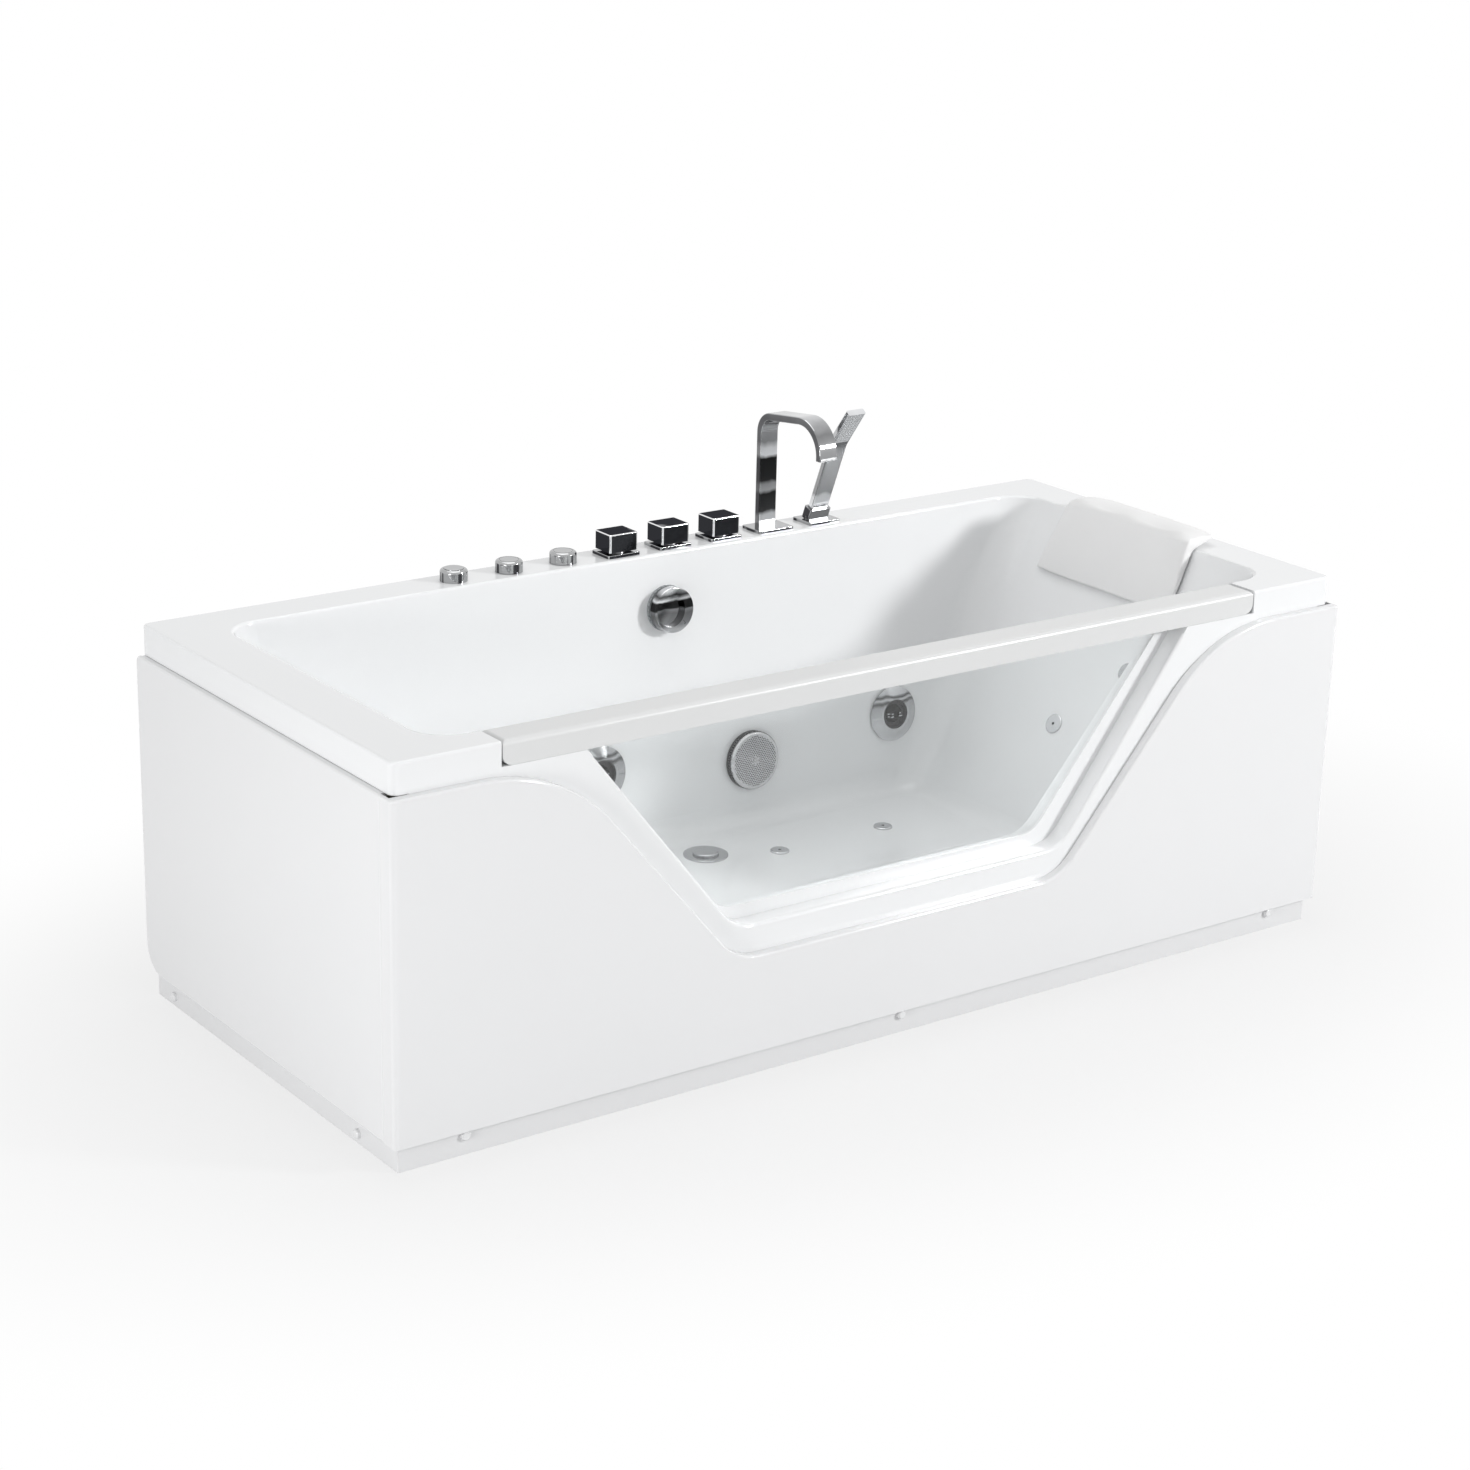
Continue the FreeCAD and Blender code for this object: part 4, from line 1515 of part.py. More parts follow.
# ================================================================ air blower
def make_blower_case():
    outlet_z = BLOWER_Z - BLOWER_OUTLET_DROP
    middle_y = (BLOWER_Y[0] + BLOWER_Y[1]) / 2
    outlet_end = vec(BLOWER_OUTLET_END_X, middle_y, outlet_z)
    outlet_start = vec(BLOWER_X, middle_y, outlet_z)
    base = block(*BLOWER_BASE, board_low_z, board_low_z + BASE_T)
    webs = [saddle(BLOWER_X, BLOWER_Z, BLOWER_R - 1, board_low_z + BASE_T - 1, y, y + SADDLE_T, SADDLE_HALF)
            for y in (BLOWER_BASE[2], BLOWER_BASE[3] - SADDLE_T)]
    body = joined([along_y(BLOWER_R, BLOWER_X, BLOWER_Z, *BLOWER_Y),
                   along_y(BLOWER_MOTOR_R, BLOWER_X, BLOWER_Z, BLOWER_Y[1] - 1, BLOWER_MOTOR_END_Y),
                   rod(GALLERY_R + CUP_WALL, outlet_start, outlet_end), base] + webs)
    inner_y = (BLOWER_Y[0] + BLOWER_WALL, BLOWER_Y[1] - BLOWER_WALL)
    tools = [along_y(BLOWER_R - BLOWER_WALL, BLOWER_X, BLOWER_Z, *inner_y),
             along_y(BLOWER_INTAKE_R, BLOWER_X, BLOWER_Z, BLOWER_Y[0] - 1, inner_y[0]),
             along_y(BLOWER_SHAFT_R + SHAFT_FIT, BLOWER_X, BLOWER_Z, inner_y[1] - 1, BLOWER_SHAFT_END_Y + 1),
             rod(FEED_R, outlet_start, outlet_end - AXIS_X)]
    return body.cut(tools)


def make_blower_fan():
    y0, y1 = BLOWER_FAN_Y
    disc = along_y(BLOWER_FAN_R, BLOWER_X, BLOWER_Z, y1 - BLOWER_FAN_DISC_T, y1)
    hub = along_y(FAN_HUB_R, BLOWER_X, BLOWER_Z, y0, y1)
    blades = ring_of(blade(BLOWER_X, BLOWER_Z, FAN_HUB_R - 1, BLOWER_FAN_R - 1, y0, y1), BLOWER_BLADES,
                     vec(BLOWER_X, 0, BLOWER_Z), AXIS_Y)
    shaft = along_y(BLOWER_SHAFT_R, BLOWER_X, BLOWER_Z, y1 - 1, BLOWER_SHAFT_END_Y)
    return joined([disc, hub, shaft] + blades)


nodes["blower_case"] = make_blower_case()
nodes["blower_fan"] = make_blower_fan()

# ================================================================ water and air lines
suction_end = suction_frame.multVec(vec(SUCTION_CUP_R - CUP_WALL, 0, -SUCTION_PIPE_DEPTH))
suction_pipe = pipe([
    suction_end,
    vec(PUMP_X, suction_end.y, suction_end.z),
    vec(PUMP_X, VOLUTE_Y[1] + 1, suction_end.z),
], SUCTION_BEND, SUCTION_PIPE_R, SUCTION_PIPE_BORE_R)

volute_middle_y = (VOLUTE_Y[0] + VOLUTE_Y[1]) / 2
spigot_tip = jet_frames[0].multVec(vec(0, JET_BODY_R + CUP_WALL / 2, -JET_SPIGOT_DEPTH))
pressure_route = [
    vec(PUMP_OUTLET_X, volute_middle_y, pump_z + PUMP_OUTLET_RISE - SHELL_T),
    vec(PUMP_OUTLET_X, volute_middle_y, PRESSURE_Z),
    vec(PUMP_OUTLET_X, spigot_tip.y, PRESSURE_Z),
    vec(JET_X[0], spigot_tip.y, PRESSURE_Z),
    spigot_tip,
]


def make_pressure_pipe():
    branch_foot = vec(JET_X[1], spigot_tip.y, spigot_tip.z)
    branch_top = vec(JET_X[1], spigot_tip.y, PRESSURE_Z)
    run = pipe(pressure_route, PRESSURE_BEND, PRESSURE_R)
    run_bore = pipe(pressure_route, PRESSURE_BEND, PRESSURE_BORE_R)
    branch_bore = rod(PRESSURE_BORE_R, branch_foot - AXIS_Z, branch_top)
    return joined([run, rod(PRESSURE_R, branch_foot, branch_top)]).cut([run_bore, branch_bore])


nodes["pump_pipes"] = Part.makeCompound([suction_pipe, make_pressure_pipe()])


def make_air_line():
    ends = []
    for frame in jet_frames:
        back = frame.multVec(vec(JET_AIR_OFFSET[0], JET_AIR_OFFSET[1], -JET_BODY_DEPTH + CUP_WALL))
        ends.append(back)
    run_start = vec(knob_xs[1], AIR_LINE_Y, AIR_LINE_Z + 3 * AIR_LINE_BEND)
    main = [run_start, vec(knob_xs[1], AIR_LINE_Y, AIR_LINE_Z), vec(ends[1].x, AIR_LINE_Y, AIR_LINE_Z),
            vec(ends[1].x, AIR_LINE_Y, ends[1].z), ends[1]]
    first = [vec(ends[0].x, AIR_LINE_Y, AIR_LINE_Z), vec(ends[0].x, AIR_LINE_Y, ends[0].z), ends[0]]
    drop_foot = vec(knob_xs[2], AIR_LINE_Y, AIR_LINE_Z)
    drop = [drop_foot + AXIS_Z * 3 * AIR_LINE_BEND, drop_foot]
    outer = joined([pipe(main, AIR_LINE_BEND, AIR_LINE_R), pipe(first, AIR_LINE_BEND, AIR_LINE_R),
                    rod(AIR_LINE_R, *drop)])
    bores = [pipe(main, AIR_LINE_BEND, AIR_LINE_BORE_R), pipe(first, AIR_LINE_BEND, AIR_LINE_BORE_R),
             rod(AIR_LINE_BORE_R, *drop)]
    return outer.cut(bores)


socket_tools = [rod(AIR_LINE_R, vec(x, AIR_LINE_Y, 0), vec(x, AIR_LINE_Y, AIR_LINE_Z + 3 * AIR_LINE_BEND))
                for x in knob_xs[1:]]
regulators = [solid.cut(socket_tools) for solid in nodes["air_regulators"].Solids]
nodes["air_regulators"] = Part.makeCompound(regulators)


def make_blower_pipes():
    header_y = AIR_JET_Y[0]
    galleries = [
        vec(GALLERY_END_X, AIR_JET_Y[1], GALLERY_Z), vec(GALLERY_HEADER_X, AIR_JET_Y[1], GALLERY_Z),
        vec(GALLERY_HEADER_X, AIR_JET_Y[1], GALLERY_HEADER_Z),
        vec(GALLERY_HEADER_X, header_y, GALLERY_HEADER_Z),
        vec(GALLERY_HEADER_X, header_y, GALLERY_Z), vec(GALLERY_END_X, header_y, GALLERY_Z),
    ]
    middle_y = (BLOWER_Y[0] + BLOWER_Y[1]) / 2
    outlet_z = BLOWER_Z - BLOWER_OUTLET_DROP
    feed = [
        vec(GALLERY_HEADER_X - 2 * GALLERY_BEND, header_y, GALLERY_Z),
        vec(BLOWER_PIPE_X, header_y, GALLERY_Z), vec(BLOWER_PIPE_X, middle_y, GALLERY_Z),
        vec(BLOWER_PIPE_X, middle_y, outlet_z), vec(BLOWER_OUTLET_END_X + 2 * CUP_WALL, middle_y, outlet_z),
    ]
    outer = joined([pipe(galleries, GALLERY_BEND, GALLERY_R), pipe(feed, BLOWER_PIPE_BEND, FEED_R)])
    bores = [pipe(galleries, GALLERY_BEND, GALLERY_BORE_R), pipe(feed, BLOWER_PIPE_BEND, FEED_BORE_R)]
    bores += [rod(AIR_JET_SHANK_R, vec(x, y, AIR_JET_LOW_Z - GALLERY_BORE_R / 2), vec(x, y, BASIN_FLOOR_Z))
              for x, y in air_jet_points]
    return outer.cut(bores)


def make_slope_tube():
    tails = [frame.multVec(vec(0, 0, -SLOPE_JET_TAIL)) for frame in slope_jet_frames]
    low, near, far = tails
    middle_y = (BLOWER_Y[0] + BLOWER_Y[1]) / 2
    join_z = BLOWER_Z - BLOWER_OUTLET_DROP + GALLERY_R
    depth = slope_jet_frames[0].Rotation.multVec(AXIS_Z) * -SLOPE_TUBE_R
    start = low + depth
    feed = [start, vec(start.x, middle_y, start.z), vec(start.x, middle_y, join_z)]
    upper = vec(near.x, 0, near.z) + depth
    return joined([
        pipe(feed, SLOPE_TUBE_BEND, SLOPE_TUBE_R),
        rod(SLOPE_TUBE_R, start, upper),
        rod(SLOPE_TUBE_R, near + depth - AXIS_Y * AIR_JET_SHANK_R, far + depth + AXIS_Y * AIR_JET_SHANK_R),
    ]).cut(slope_jets)


nodes["air_pipes"] = Part.makeCompound([make_air_line(), make_blower_pipes(), make_slope_tube()])


# ================================================================ deck supply pipes
def make_supply_pipes():
    left, middle, right = valve_xs
    reach = VALVE_BODY_R + VALVE_PORT_REACH
    pipes = []
    for x in (left, middle):
        inlet_end = vec(x, INLET_END_Y, INLET_Z)
        drop = pipe([vec(x, VALVE_Y, VALVE_BODY_LOW_Z), vec(x, VALVE_Y, INLET_Z), inlet_end],
                    INLET_BEND, SUPPLY_R,
                    SUPPLY_BORE_R)
        inlet = sleeve(INLET_R, SUPPLY_BORE_R, inlet_end - AXIS_Y * INLET_LENGTH, inlet_end)
        pipes.append(joined([drop, inlet]))
    for start, end in ((left, middle), (middle, right)):
        pipes.append(sleeve(SUPPLY_R, SUPPLY_BORE_R, vec(start + reach, VALVE_Y, VALVE_PORT_Z),
                            vec(end - reach, VALVE_Y, VALVE_PORT_Z)))
    pipes.append(pipe([vec(right + reach, VALVE_Y, VALVE_PORT_Z), vec(spout_x - SHANK_R, VALVE_Y, VALVE_PORT_Z),
                       vec(spout_x, VALVE_Y, SHANK_LOW_Z)], SUPPLY_R, SUPPLY_R, SUPPLY_BORE_R))
    pipes.append(pipe([vec(right, VALVE_Y, VALVE_BODY_LOW_Z), vec(right, VALVE_Y, SHOWER_FEED_Z),
                       vec(shower_x, VALVE_Y, SHOWER_FEED_Z), vec(shower_x, VALVE_Y, SHANK_LOW_Z)],
                      SUPPLY_BEND, SUPPLY_R, SUPPLY_BORE_R))
    return Part.makeCompound([one.cut([nodes["spout"], nodes["spout_plate"]]) for one in pipes])


nodes["supply_pipes"] = make_supply_pipes()


# ================================================================ control box
def make_control_box():
    box = rounded_block(*BOX_X, *BOX_Y, BOX_Z[0], BOX_Z[1] - LID_T, PLATE_CORNER_R)
    inside = block(BOX_X[0] + BOX_WALL, BOX_X[1] - BOX_WALL, BOX_Y[0] + BOX_WALL, BOX_Y[1] - BOX_WALL,
                   BOX_Z[0] + BOX_WALL, BOX_Z[1])
    gland_start = vec(GLAND_X, BOX_Y[1] - BOX_WALL, GLAND_Z)
    gland_end = vec(GLAND_X, BOX_Y[1] + GLAND_LENGTH - BOX_WALL, GLAND_Z)
    lid = rounded_block(*BOX_X, *BOX_Y, BOX_Z[1] - LID_T, BOX_Z[1], PLATE_CORNER_R)
    return joined([box.cut(inside), lid, rod(GLAND_R, gland_start, gland_end)]).cut(
        rod(GLAND_BORE_R, gland_start - AXIS_Y, gland_end + AXIS_Y))


nodes["control_box"] = make_control_box()
signal_tube = pipe([
    vec(knob_xs[0], KNOB_Y, SIGNAL_TUBE_TOP_Z), vec(knob_xs[0], KNOB_Y, SIGNAL_TUBE_Z),
    vec(SIGNAL_TUBE_X, KNOB_Y, SIGNAL_TUBE_Z), vec(SIGNAL_TUBE_X, SIGNAL_TUBE_Y, SIGNAL_TUBE_Z),
    vec(SIGNAL_TUBE_X, SIGNAL_TUBE_Y, BOX_Z[1]),
], SIGNAL_TUBE_BEND, SIGNAL_TUBE_R)


def make_cables():
    pump_y, pump_cable_z, pump_turn_x = PUMP_CABLE
    to_pump = pipe([
        vec(BOX_X[1], pump_y, pump_cable_z), vec(CABLE_LEFT_X, pump_y, pump_cable_z),
        vec(CABLE_LEFT_X, CABLE_Y, pump_cable_z), vec(pump_turn_x, CABLE_Y, pump_cable_z),
        vec(pump_turn_x, 0, pump_cable_z), vec(pump_turn_x, 0, pump_z),
        vec(PUMP_X - MOTOR_R - MOTOR_FIN_H, 0, pump_z),
    ], CABLE_BEND, CABLE_R)
    box_y, blower_cable_z, blower_turn_x = BLOWER_CABLE
    to_blower = pipe([
        vec(BOX_X[1], box_y, blower_cable_z), vec(CABLE_LEFT_X, box_y, blower_cable_z),
        vec(CABLE_LEFT_X, CABLE_Y, blower_cable_z), vec(blower_turn_x, CABLE_Y, blower_cable_z),
        vec(blower_turn_x, BLOWER_CABLE_END_Y, blower_cable_z),
        vec(BLOWER_X - BLOWER_MOTOR_R, BLOWER_CABLE_END_Y, blower_cable_z),
    ], CABLE_BEND, CABLE_R)
    return [to_pump, to_blower]


nodes["control_leads"] = Part.makeCompound([signal_tube] + make_cables())

# ================================================================ write every piece
os.makedirs("parts", exist_ok=True)
for name, shape in nodes.items():
    shape.exportStep(os.path.join("parts", name + ".step"))
    print(name, len(shape.Solids), round(shape.Volume / 1000.0, 1), shape.isValid())
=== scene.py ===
import math

import bpy
from mathutils import Matrix, Vector


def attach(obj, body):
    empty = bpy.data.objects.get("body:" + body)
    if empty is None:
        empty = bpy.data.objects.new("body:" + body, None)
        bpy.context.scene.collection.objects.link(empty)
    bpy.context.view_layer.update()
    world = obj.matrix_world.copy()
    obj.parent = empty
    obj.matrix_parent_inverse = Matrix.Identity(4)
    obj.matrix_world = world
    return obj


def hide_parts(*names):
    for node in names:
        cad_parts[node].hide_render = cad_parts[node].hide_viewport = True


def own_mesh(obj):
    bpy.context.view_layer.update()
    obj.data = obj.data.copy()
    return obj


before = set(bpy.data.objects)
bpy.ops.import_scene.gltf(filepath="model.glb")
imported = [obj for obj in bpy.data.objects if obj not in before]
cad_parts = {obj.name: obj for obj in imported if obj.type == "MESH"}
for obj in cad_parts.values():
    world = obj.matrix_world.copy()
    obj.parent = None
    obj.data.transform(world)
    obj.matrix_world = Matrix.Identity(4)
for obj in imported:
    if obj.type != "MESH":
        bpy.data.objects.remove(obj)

bl_info = {
    "name": "Jetted Bathtub",
    "version": (1, 0, 0),
    "blender": (4, 5, 0),
    "location": "View3D > Sidebar > Bath",
    "description": "Dresses a jetted bathtub with a window, a headrest and deck taps",
    "category": "Object",
}


# ------------------------------------------------------------------ places and sizes, in metres
MERGE_DISTANCE = 0.00005
SMOOTH_ANGLE = math.radians(35)

# Resin covers the faces of the shell that look away from a point over the basin, inside these limits.
BASIN_MIDDLE = (0.0, 0.0, 0.62)
RESIN_TURN = 0.02
RESIN_FRONT_Y = -0.292
RESIN_BACK_Y = 0.3655
RESIN_TOP_Z = 0.5695
RESIN_HALF_LENGTH = 0.8365

# Heights between which the painted light and dark reflection bands of each plated piece lie.
TAP_REFLECTION_BANDS = (0.58, 0.78)
OVERFLOW_REFLECTION_BANDS = (0.450, 0.525)
JET_RING_REFLECTION_BANDS = (0.193, 0.288)
JET_NOZZLE_REFLECTION_BANDS = (0.222, 0.258)

# A face counts as flat, and takes the painted dark reflection, from the first share of its turn to an axis,
# and fully from the second.
FLAT_FACE = (0.955, 0.985)
# Softness of the edges of the painted bright reflection streaks on the flat faces.
REFLECTION_STREAK_EDGE = 0.03

# The valves' brass is plated from this height up.
NECK_PLATED_FROM = 0.5765

# The spray face lies flat on the front of the hand shower's head, a little below the tip.
HEAD_UP = Vector((0, -0.60311, 0.79766))
HEAD_FRONT = Vector((0, -0.79766, -0.60311))
HEAD_TIP = Vector((0.3481, 0.233, 0.775))
HEAD_HALF_THICKNESS = 0.0055
SPRAY_BELOW_TIP = 0.036
NUB_ROWS = 10
NUB_COLUMNS = 4
NUB_PITCH = 0.0056
NUB_SIDES = 12
NUB_TOP_NORMAL_Z = 0.9
NUB_TIP_SHARE = 0.72
NUB_RIM_SHARE = 0.3
NUB_PORE_SHARE = 0.7

# The white pipe rises from the pump, turns to the back, and runs along behind the basin to both jets.
# Its sockets stand by the pump, on both sides of the bend and of the branch to the right jet, and before
# the end at the left jet.
PIPE_Z = 0.33
PIPE_Y = 0.2949
PIPE_BEND_X = 0.758
PIPE_BRANCH_X = 0.471
PIPE_END_X = -0.115
PIPE_RADIUS = 0.012
PUMP_SOCKET_Y = 0.193
SOCKET_LENGTH = 0.024
SOCKET_EDGE = 0.0008
BEND_TO_SOCKET = 0.05
BRANCH_TO_SOCKET = 0.026
END_TO_SOCKET = 0.046

FLOOR_SIZE = 60
FLOOR_DROP = 0.0005
GLOW_STRETCH = (0.62, 1.0, 0.0)
CAMERA_EYE = Vector((-2.75392, -3.71047, 1.92671))
CAMERA_TARGET = Vector((0.07559, 0.16535, 0.3))
CAMERA_ROLL = math.radians(1.4195)
CAMERA_FIELD = math.radians(25.774)
CAMERA_SENSOR = 36
CAMERA_REACH = 100

# ------------------------------------------------------------------ colours that several pieces share
WHITE = (1, 1, 1, 1)
BRASS = (0.72, 0.56, 0.26)
RUBBER = (0.03, 0.03, 0.032)
# A tint for the greys of the painted reflection bands, and the painted dark reflection on the sides of
# banded pieces.
PAINTED_REFLECTION_TINT = (1.0, 1.01, 1.03)
PAINTED_SIDE_REFLECTION = (0.06, 0.06, 0.065, 1)


# ------------------------------------------------------------------ settings
class BathStudioSettings(bpy.types.PropertyGroup):
    floor_colour: bpy.props.FloatVectorProperty(
        name="Floor Colour", description="Colour of the studio floor",
        subtype="COLOR", size=3, min=0, max=1, default=(0.62, 0.622, 0.625))
    floor_glow: bpy.props.FloatProperty(
        name="Floor Glow", description="Share of plain white that the camera sees near the bath",
        subtype="FACTOR", min=0, max=1, default=0.72)
    glow_start: bpy.props.FloatProperty(
        name="Glow Start", description="Distance from the middle where the floor starts to turn white",
        unit="LENGTH", min=0, max=10, default=0.5)
    glow_end: bpy.props.FloatProperty(
        name="Glow End", description="Distance from the middle where the floor is plain white",
        unit="LENGTH", min=0, max=20, default=1.15)
    sky_strength: bpy.props.FloatProperty(
        name="Sky Strength", description="Strength of the even light from all sides",
        min=0, max=4, default=0.50)
    key_power: bpy.props.FloatProperty(
        name="Key Power", description="Power of the lamp to the right in front",
        unit="POWER", min=0, max=4000, default=225)
    side_power: bpy.props.FloatProperty(
        name="Side Power", description="Power of the wide lamp to the left",
        unit="POWER", min=0, max=2000, default=46)
    top_power: bpy.props.FloatProperty(
        name="Top Power", description="Power of the wide lamp overhead",
        unit="POWER", min=0, max=2000, default=34)


class BathFinishSettings(bpy.types.PropertyGroup):
    tub_colour: bpy.props.FloatVectorProperty(
        name="Tub Colour", description="Colour of the glossy acrylic tub",
        subtype="COLOR", size=3, min=0, max=1, default=(0.84, 0.848, 0.855))
    rail_colour: bpy.props.FloatVectorProperty(
        name="Rail Colour", description="Colour of the rail over the window",
        subtype="COLOR", size=3, min=0, max=1, default=(0.70, 0.705, 0.705))
    panel_colour: bpy.props.FloatVectorProperty(
        name="Panel Colour", description="Colour of the glossy apron panels",
        subtype="COLOR", size=3, min=0, max=1, default=(0.79, 0.793, 0.80))
    chrome_colour: bpy.props.FloatVectorProperty(
        name="Chrome Colour", description="Colour of the chrome plating",
        subtype="COLOR", size=3, min=0, max=1, default=(0.5, 0.505, 0.515))
    # The deep tones on the valve handles are painted dark reflections.
    painted_dark_reflection: bpy.props.FloatVectorProperty(
        name="Painted Dark Reflection", description="Colour of the deep tones on the valve handles",
        subtype="COLOR", size=3, min=0, max=1, default=(0.035, 0.036, 0.04))
    glass_colour: bpy.props.FloatVectorProperty(
        name="Glass Colour", description="Tint of the window pane",
        subtype="COLOR", size=3, min=0, max=1, default=(0.955, 0.975, 0.975))
    pad_colour: bpy.props.FloatVectorProperty(
        name="Headrest Colour", description="Colour of the moulded headrest",
        subtype="COLOR", size=3, min=0, max=1, default=(0.83, 0.83, 0.83))


class BathDetailSettings(bpy.types.PropertyGroup):
    nub_radius: bpy.props.FloatProperty(
        name="Nub Radius", description="Radius of a rubber nub at its foot on the spray face",
        unit="LENGTH", min=0.0008, max=0.0025, default=0.0016)
    nub_height: bpy.props.FloatProperty(
        name="Nub Height", description="How far a rubber nub stands out of the spray face",
        unit="LENGTH", min=0.0003, max=0.0015, default=0.0008)
    socket_wall: bpy.props.FloatProperty(
        name="Socket Wall", description="Thickness of the glued sockets on the white pipe",
        unit="LENGTH", min=0.001, max=0.004, default=0.0022)
    button_travel: bpy.props.FloatProperty(
        name="Button Travel", description="How far the air button goes down",
        unit="LENGTH", min=0.001, max=0.01, default=0.004)


class BathHeadrestSettings(bpy.types.PropertyGroup):
    voxel: bpy.props.FloatProperty(
        name="Grain of the Form", description="Size of the faces that the soft form starts from",
        unit="LENGTH", min=0.002, max=0.01, default=0.003)


# ------------------------------------------------------------------ material bricks
def new_material(name):
    material = bpy.data.materials.new(name)
    material.use_nodes = True
    tree = material.node_tree
    return material, tree, tree.nodes["Principled BSDF"]


def node(tree, kind, inputs=(), **settings):
    """A new shader node, with sockets linked to its inputs and plain values set on them."""
    made = tree.nodes.new(kind)
    for key, value in settings.items():
        setattr(made, key, value)
    for key, value in dict(inputs).items():
        if isinstance(value, bpy.types.NodeSocket):
            tree.links.new(value, made.inputs[key])
        else:
            made.inputs[key].default_value = value
    return made


def place(tree):
    return node(tree, "ShaderNodeTexCoord").outputs["Object"]


def noise(tree, scale, detail=3.0, roughness=0.5, where=None):
    made = node(tree, "ShaderNodeTexNoise", {
        "Vector": where or place(tree), "Scale": scale, "Detail": detail, "Roughness": roughness})
    return made.outputs["Fac"]


def spread(tree, value, low, high, from_low=0.0, from_high=1.0):
    """Stretches a value that runs from from_low to from_high so that it runs from low to high."""
    made = node(tree, "ShaderNodeMapRange", {
        "Value": value, "From Min": from_low, "From Max": from_high, "To Min": low, "To Max": high})
    return made.outputs["Result"]


def calculate(tree, operation, first, second=0.0):
    return node(tree, "ShaderNodeMath", {0: first, 1: second}, operation=operation).outputs[0]


def part_of(tree, vector, axis):
    return node(tree, "ShaderNodeSeparateXYZ", {0: vector}).outputs[axis]


def blend(tree, factor, first, second):
    """Goes from the first colour to the second as the factor goes from 0 to 1."""
    inputs = {"Factor": factor, "A": first, "B": second}
    return node(tree, "ShaderNodeMix", inputs, data_type="RGBA").outputs["Result"]


def two_tones(tree, factor, first, second):
    return blend(tree, factor, (*first, 1), (*second, 1))


def bumped(tree, shader, height, strength, distance):
    bump = node(tree, "ShaderNodeBump", {"Height": height, "Strength": strength, "Distance": distance})
    tree.links.new(bump.outputs["Normal"], shader.inputs["Normal"])


def cells(tree, scale, output):
    return node(tree, "ShaderNodeTexVoronoi", {"Vector": place(tree), "Scale": scale}).outputs[output]


def seen_rays(tree):
    """1 for the rays that reach the camera straight, or by way of metal or glass."""
    rays = node(tree, "ShaderNodeLightPath")
    seen = rays.outputs["Is Camera Ray"]
    for name in ("Is Glossy Ray", "Is Transmission Ray"):
        seen = calculate(tree, "MAXIMUM", seen, rays.outputs[name])
    return seen


def shade(colour, factor):
    return tuple(min(1.0, channel * factor) for channel in colour)


def tint(tree, shader, factor, colour, low, high):
    """Lets the base colour drift from a darker to a lighter shade of one colour."""
    tones = two_tones(tree, factor, shade(colour, low), shade(colour, high))
    tree.links.new(tones, shader.inputs["Base Color"])


def roughen(tree, shader, factor, low, high):
    tree.links.new(spread(tree, factor, low, high), shader.inputs["Roughness"])


def mixed_output(tree, share, first, second, output):
    """Sends a mix of two shaders to the output node, all of the second one where the share is 1."""
    mix = node(tree, "ShaderNodeMixShader", {0: share, 1: first, 2: second})
    tree.links.new(mix.outputs[0], tree.nodes[output].inputs["Surface"])


# ------------------------------------------------------------------ finishes
def gloss_acrylic(name, colour, roughness=0.1, coat=0.35):
    """Glossy acrylic sheet with a thin clear coat."""
    material, tree, shader = new_material(name)
    tone = noise(tree, 3.0, 2.0)
    tint(tree, shader, tone, colour, 0.985, 1.015)
    roughen(tree, shader, noise(tree, 9.0), roughness * 0.75, roughness * 1.35)
    bumped(tree, shader, noise(tree, 140.0, 1.0), 0.05, 0.0004)
    shader.inputs["Coat Weight"].default_value = coat
    shader.inputs["Coat Roughness"].default_value = 0.04
    return material


def tub_acrylic(name, colour, back_colour):
    """Gloss acrylic on the faces that are seen, and rough reinforced resin on the faces behind them."""
    material, tree, shader = new_material(name)
    where = place(tree)
    normal = node(tree, "ShaderNodeNewGeometry").outputs["Normal"]
    reach = node(tree, "ShaderNodeVectorMath", {0: where, 1: BASIN_MIDDLE}, operation="SUBTRACT").outputs[0]
    turn = node(tree, "ShaderNodeVectorMath", {0: normal, 1: reach}, operation="DOT_PRODUCT")
    sideways = calculate(tree, "ABSOLUTE", part_of(tree, where, "X"))
    limits = (
        ("GREATER_THAN", part_of(tree, where, "Y"), RESIN_FRONT_Y),
        ("LESS_THAN", part_of(tree, where, "Y"), RESIN_BACK_Y),
        ("LESS_THAN", part_of(tree, where, "Z"), RESIN_TOP_Z),
        ("LESS_THAN", sideways, RESIN_HALF_LENGTH),
    )
    behind = calculate(tree, "GREATER_THAN", turn.outputs["Value"], RESIN_TURN)
    for test, distance, limit in limits:
        behind = calculate(tree, "MULTIPLY", behind, calculate(tree, test, distance, limit))
    gloss = two_tones(tree, noise(tree, 3.0, 2.0), shade(colour, 0.985), shade(colour, 1.015))
    strands = noise(tree, 38.0, 6.0, 0.7)
    resin = two_tones(tree, strands, shade(back_colour, 0.82), shade(back_colour, 1.12))
    tree.links.new(blend(tree, behind, gloss, resin), shader.inputs["Base Color"])
    roughen(tree, shader, behind, 0.1, 0.62)
    bumped(tree, shader, calculate(tree, "MULTIPLY", strands, behind), 0.6, 0.0012)
    return material


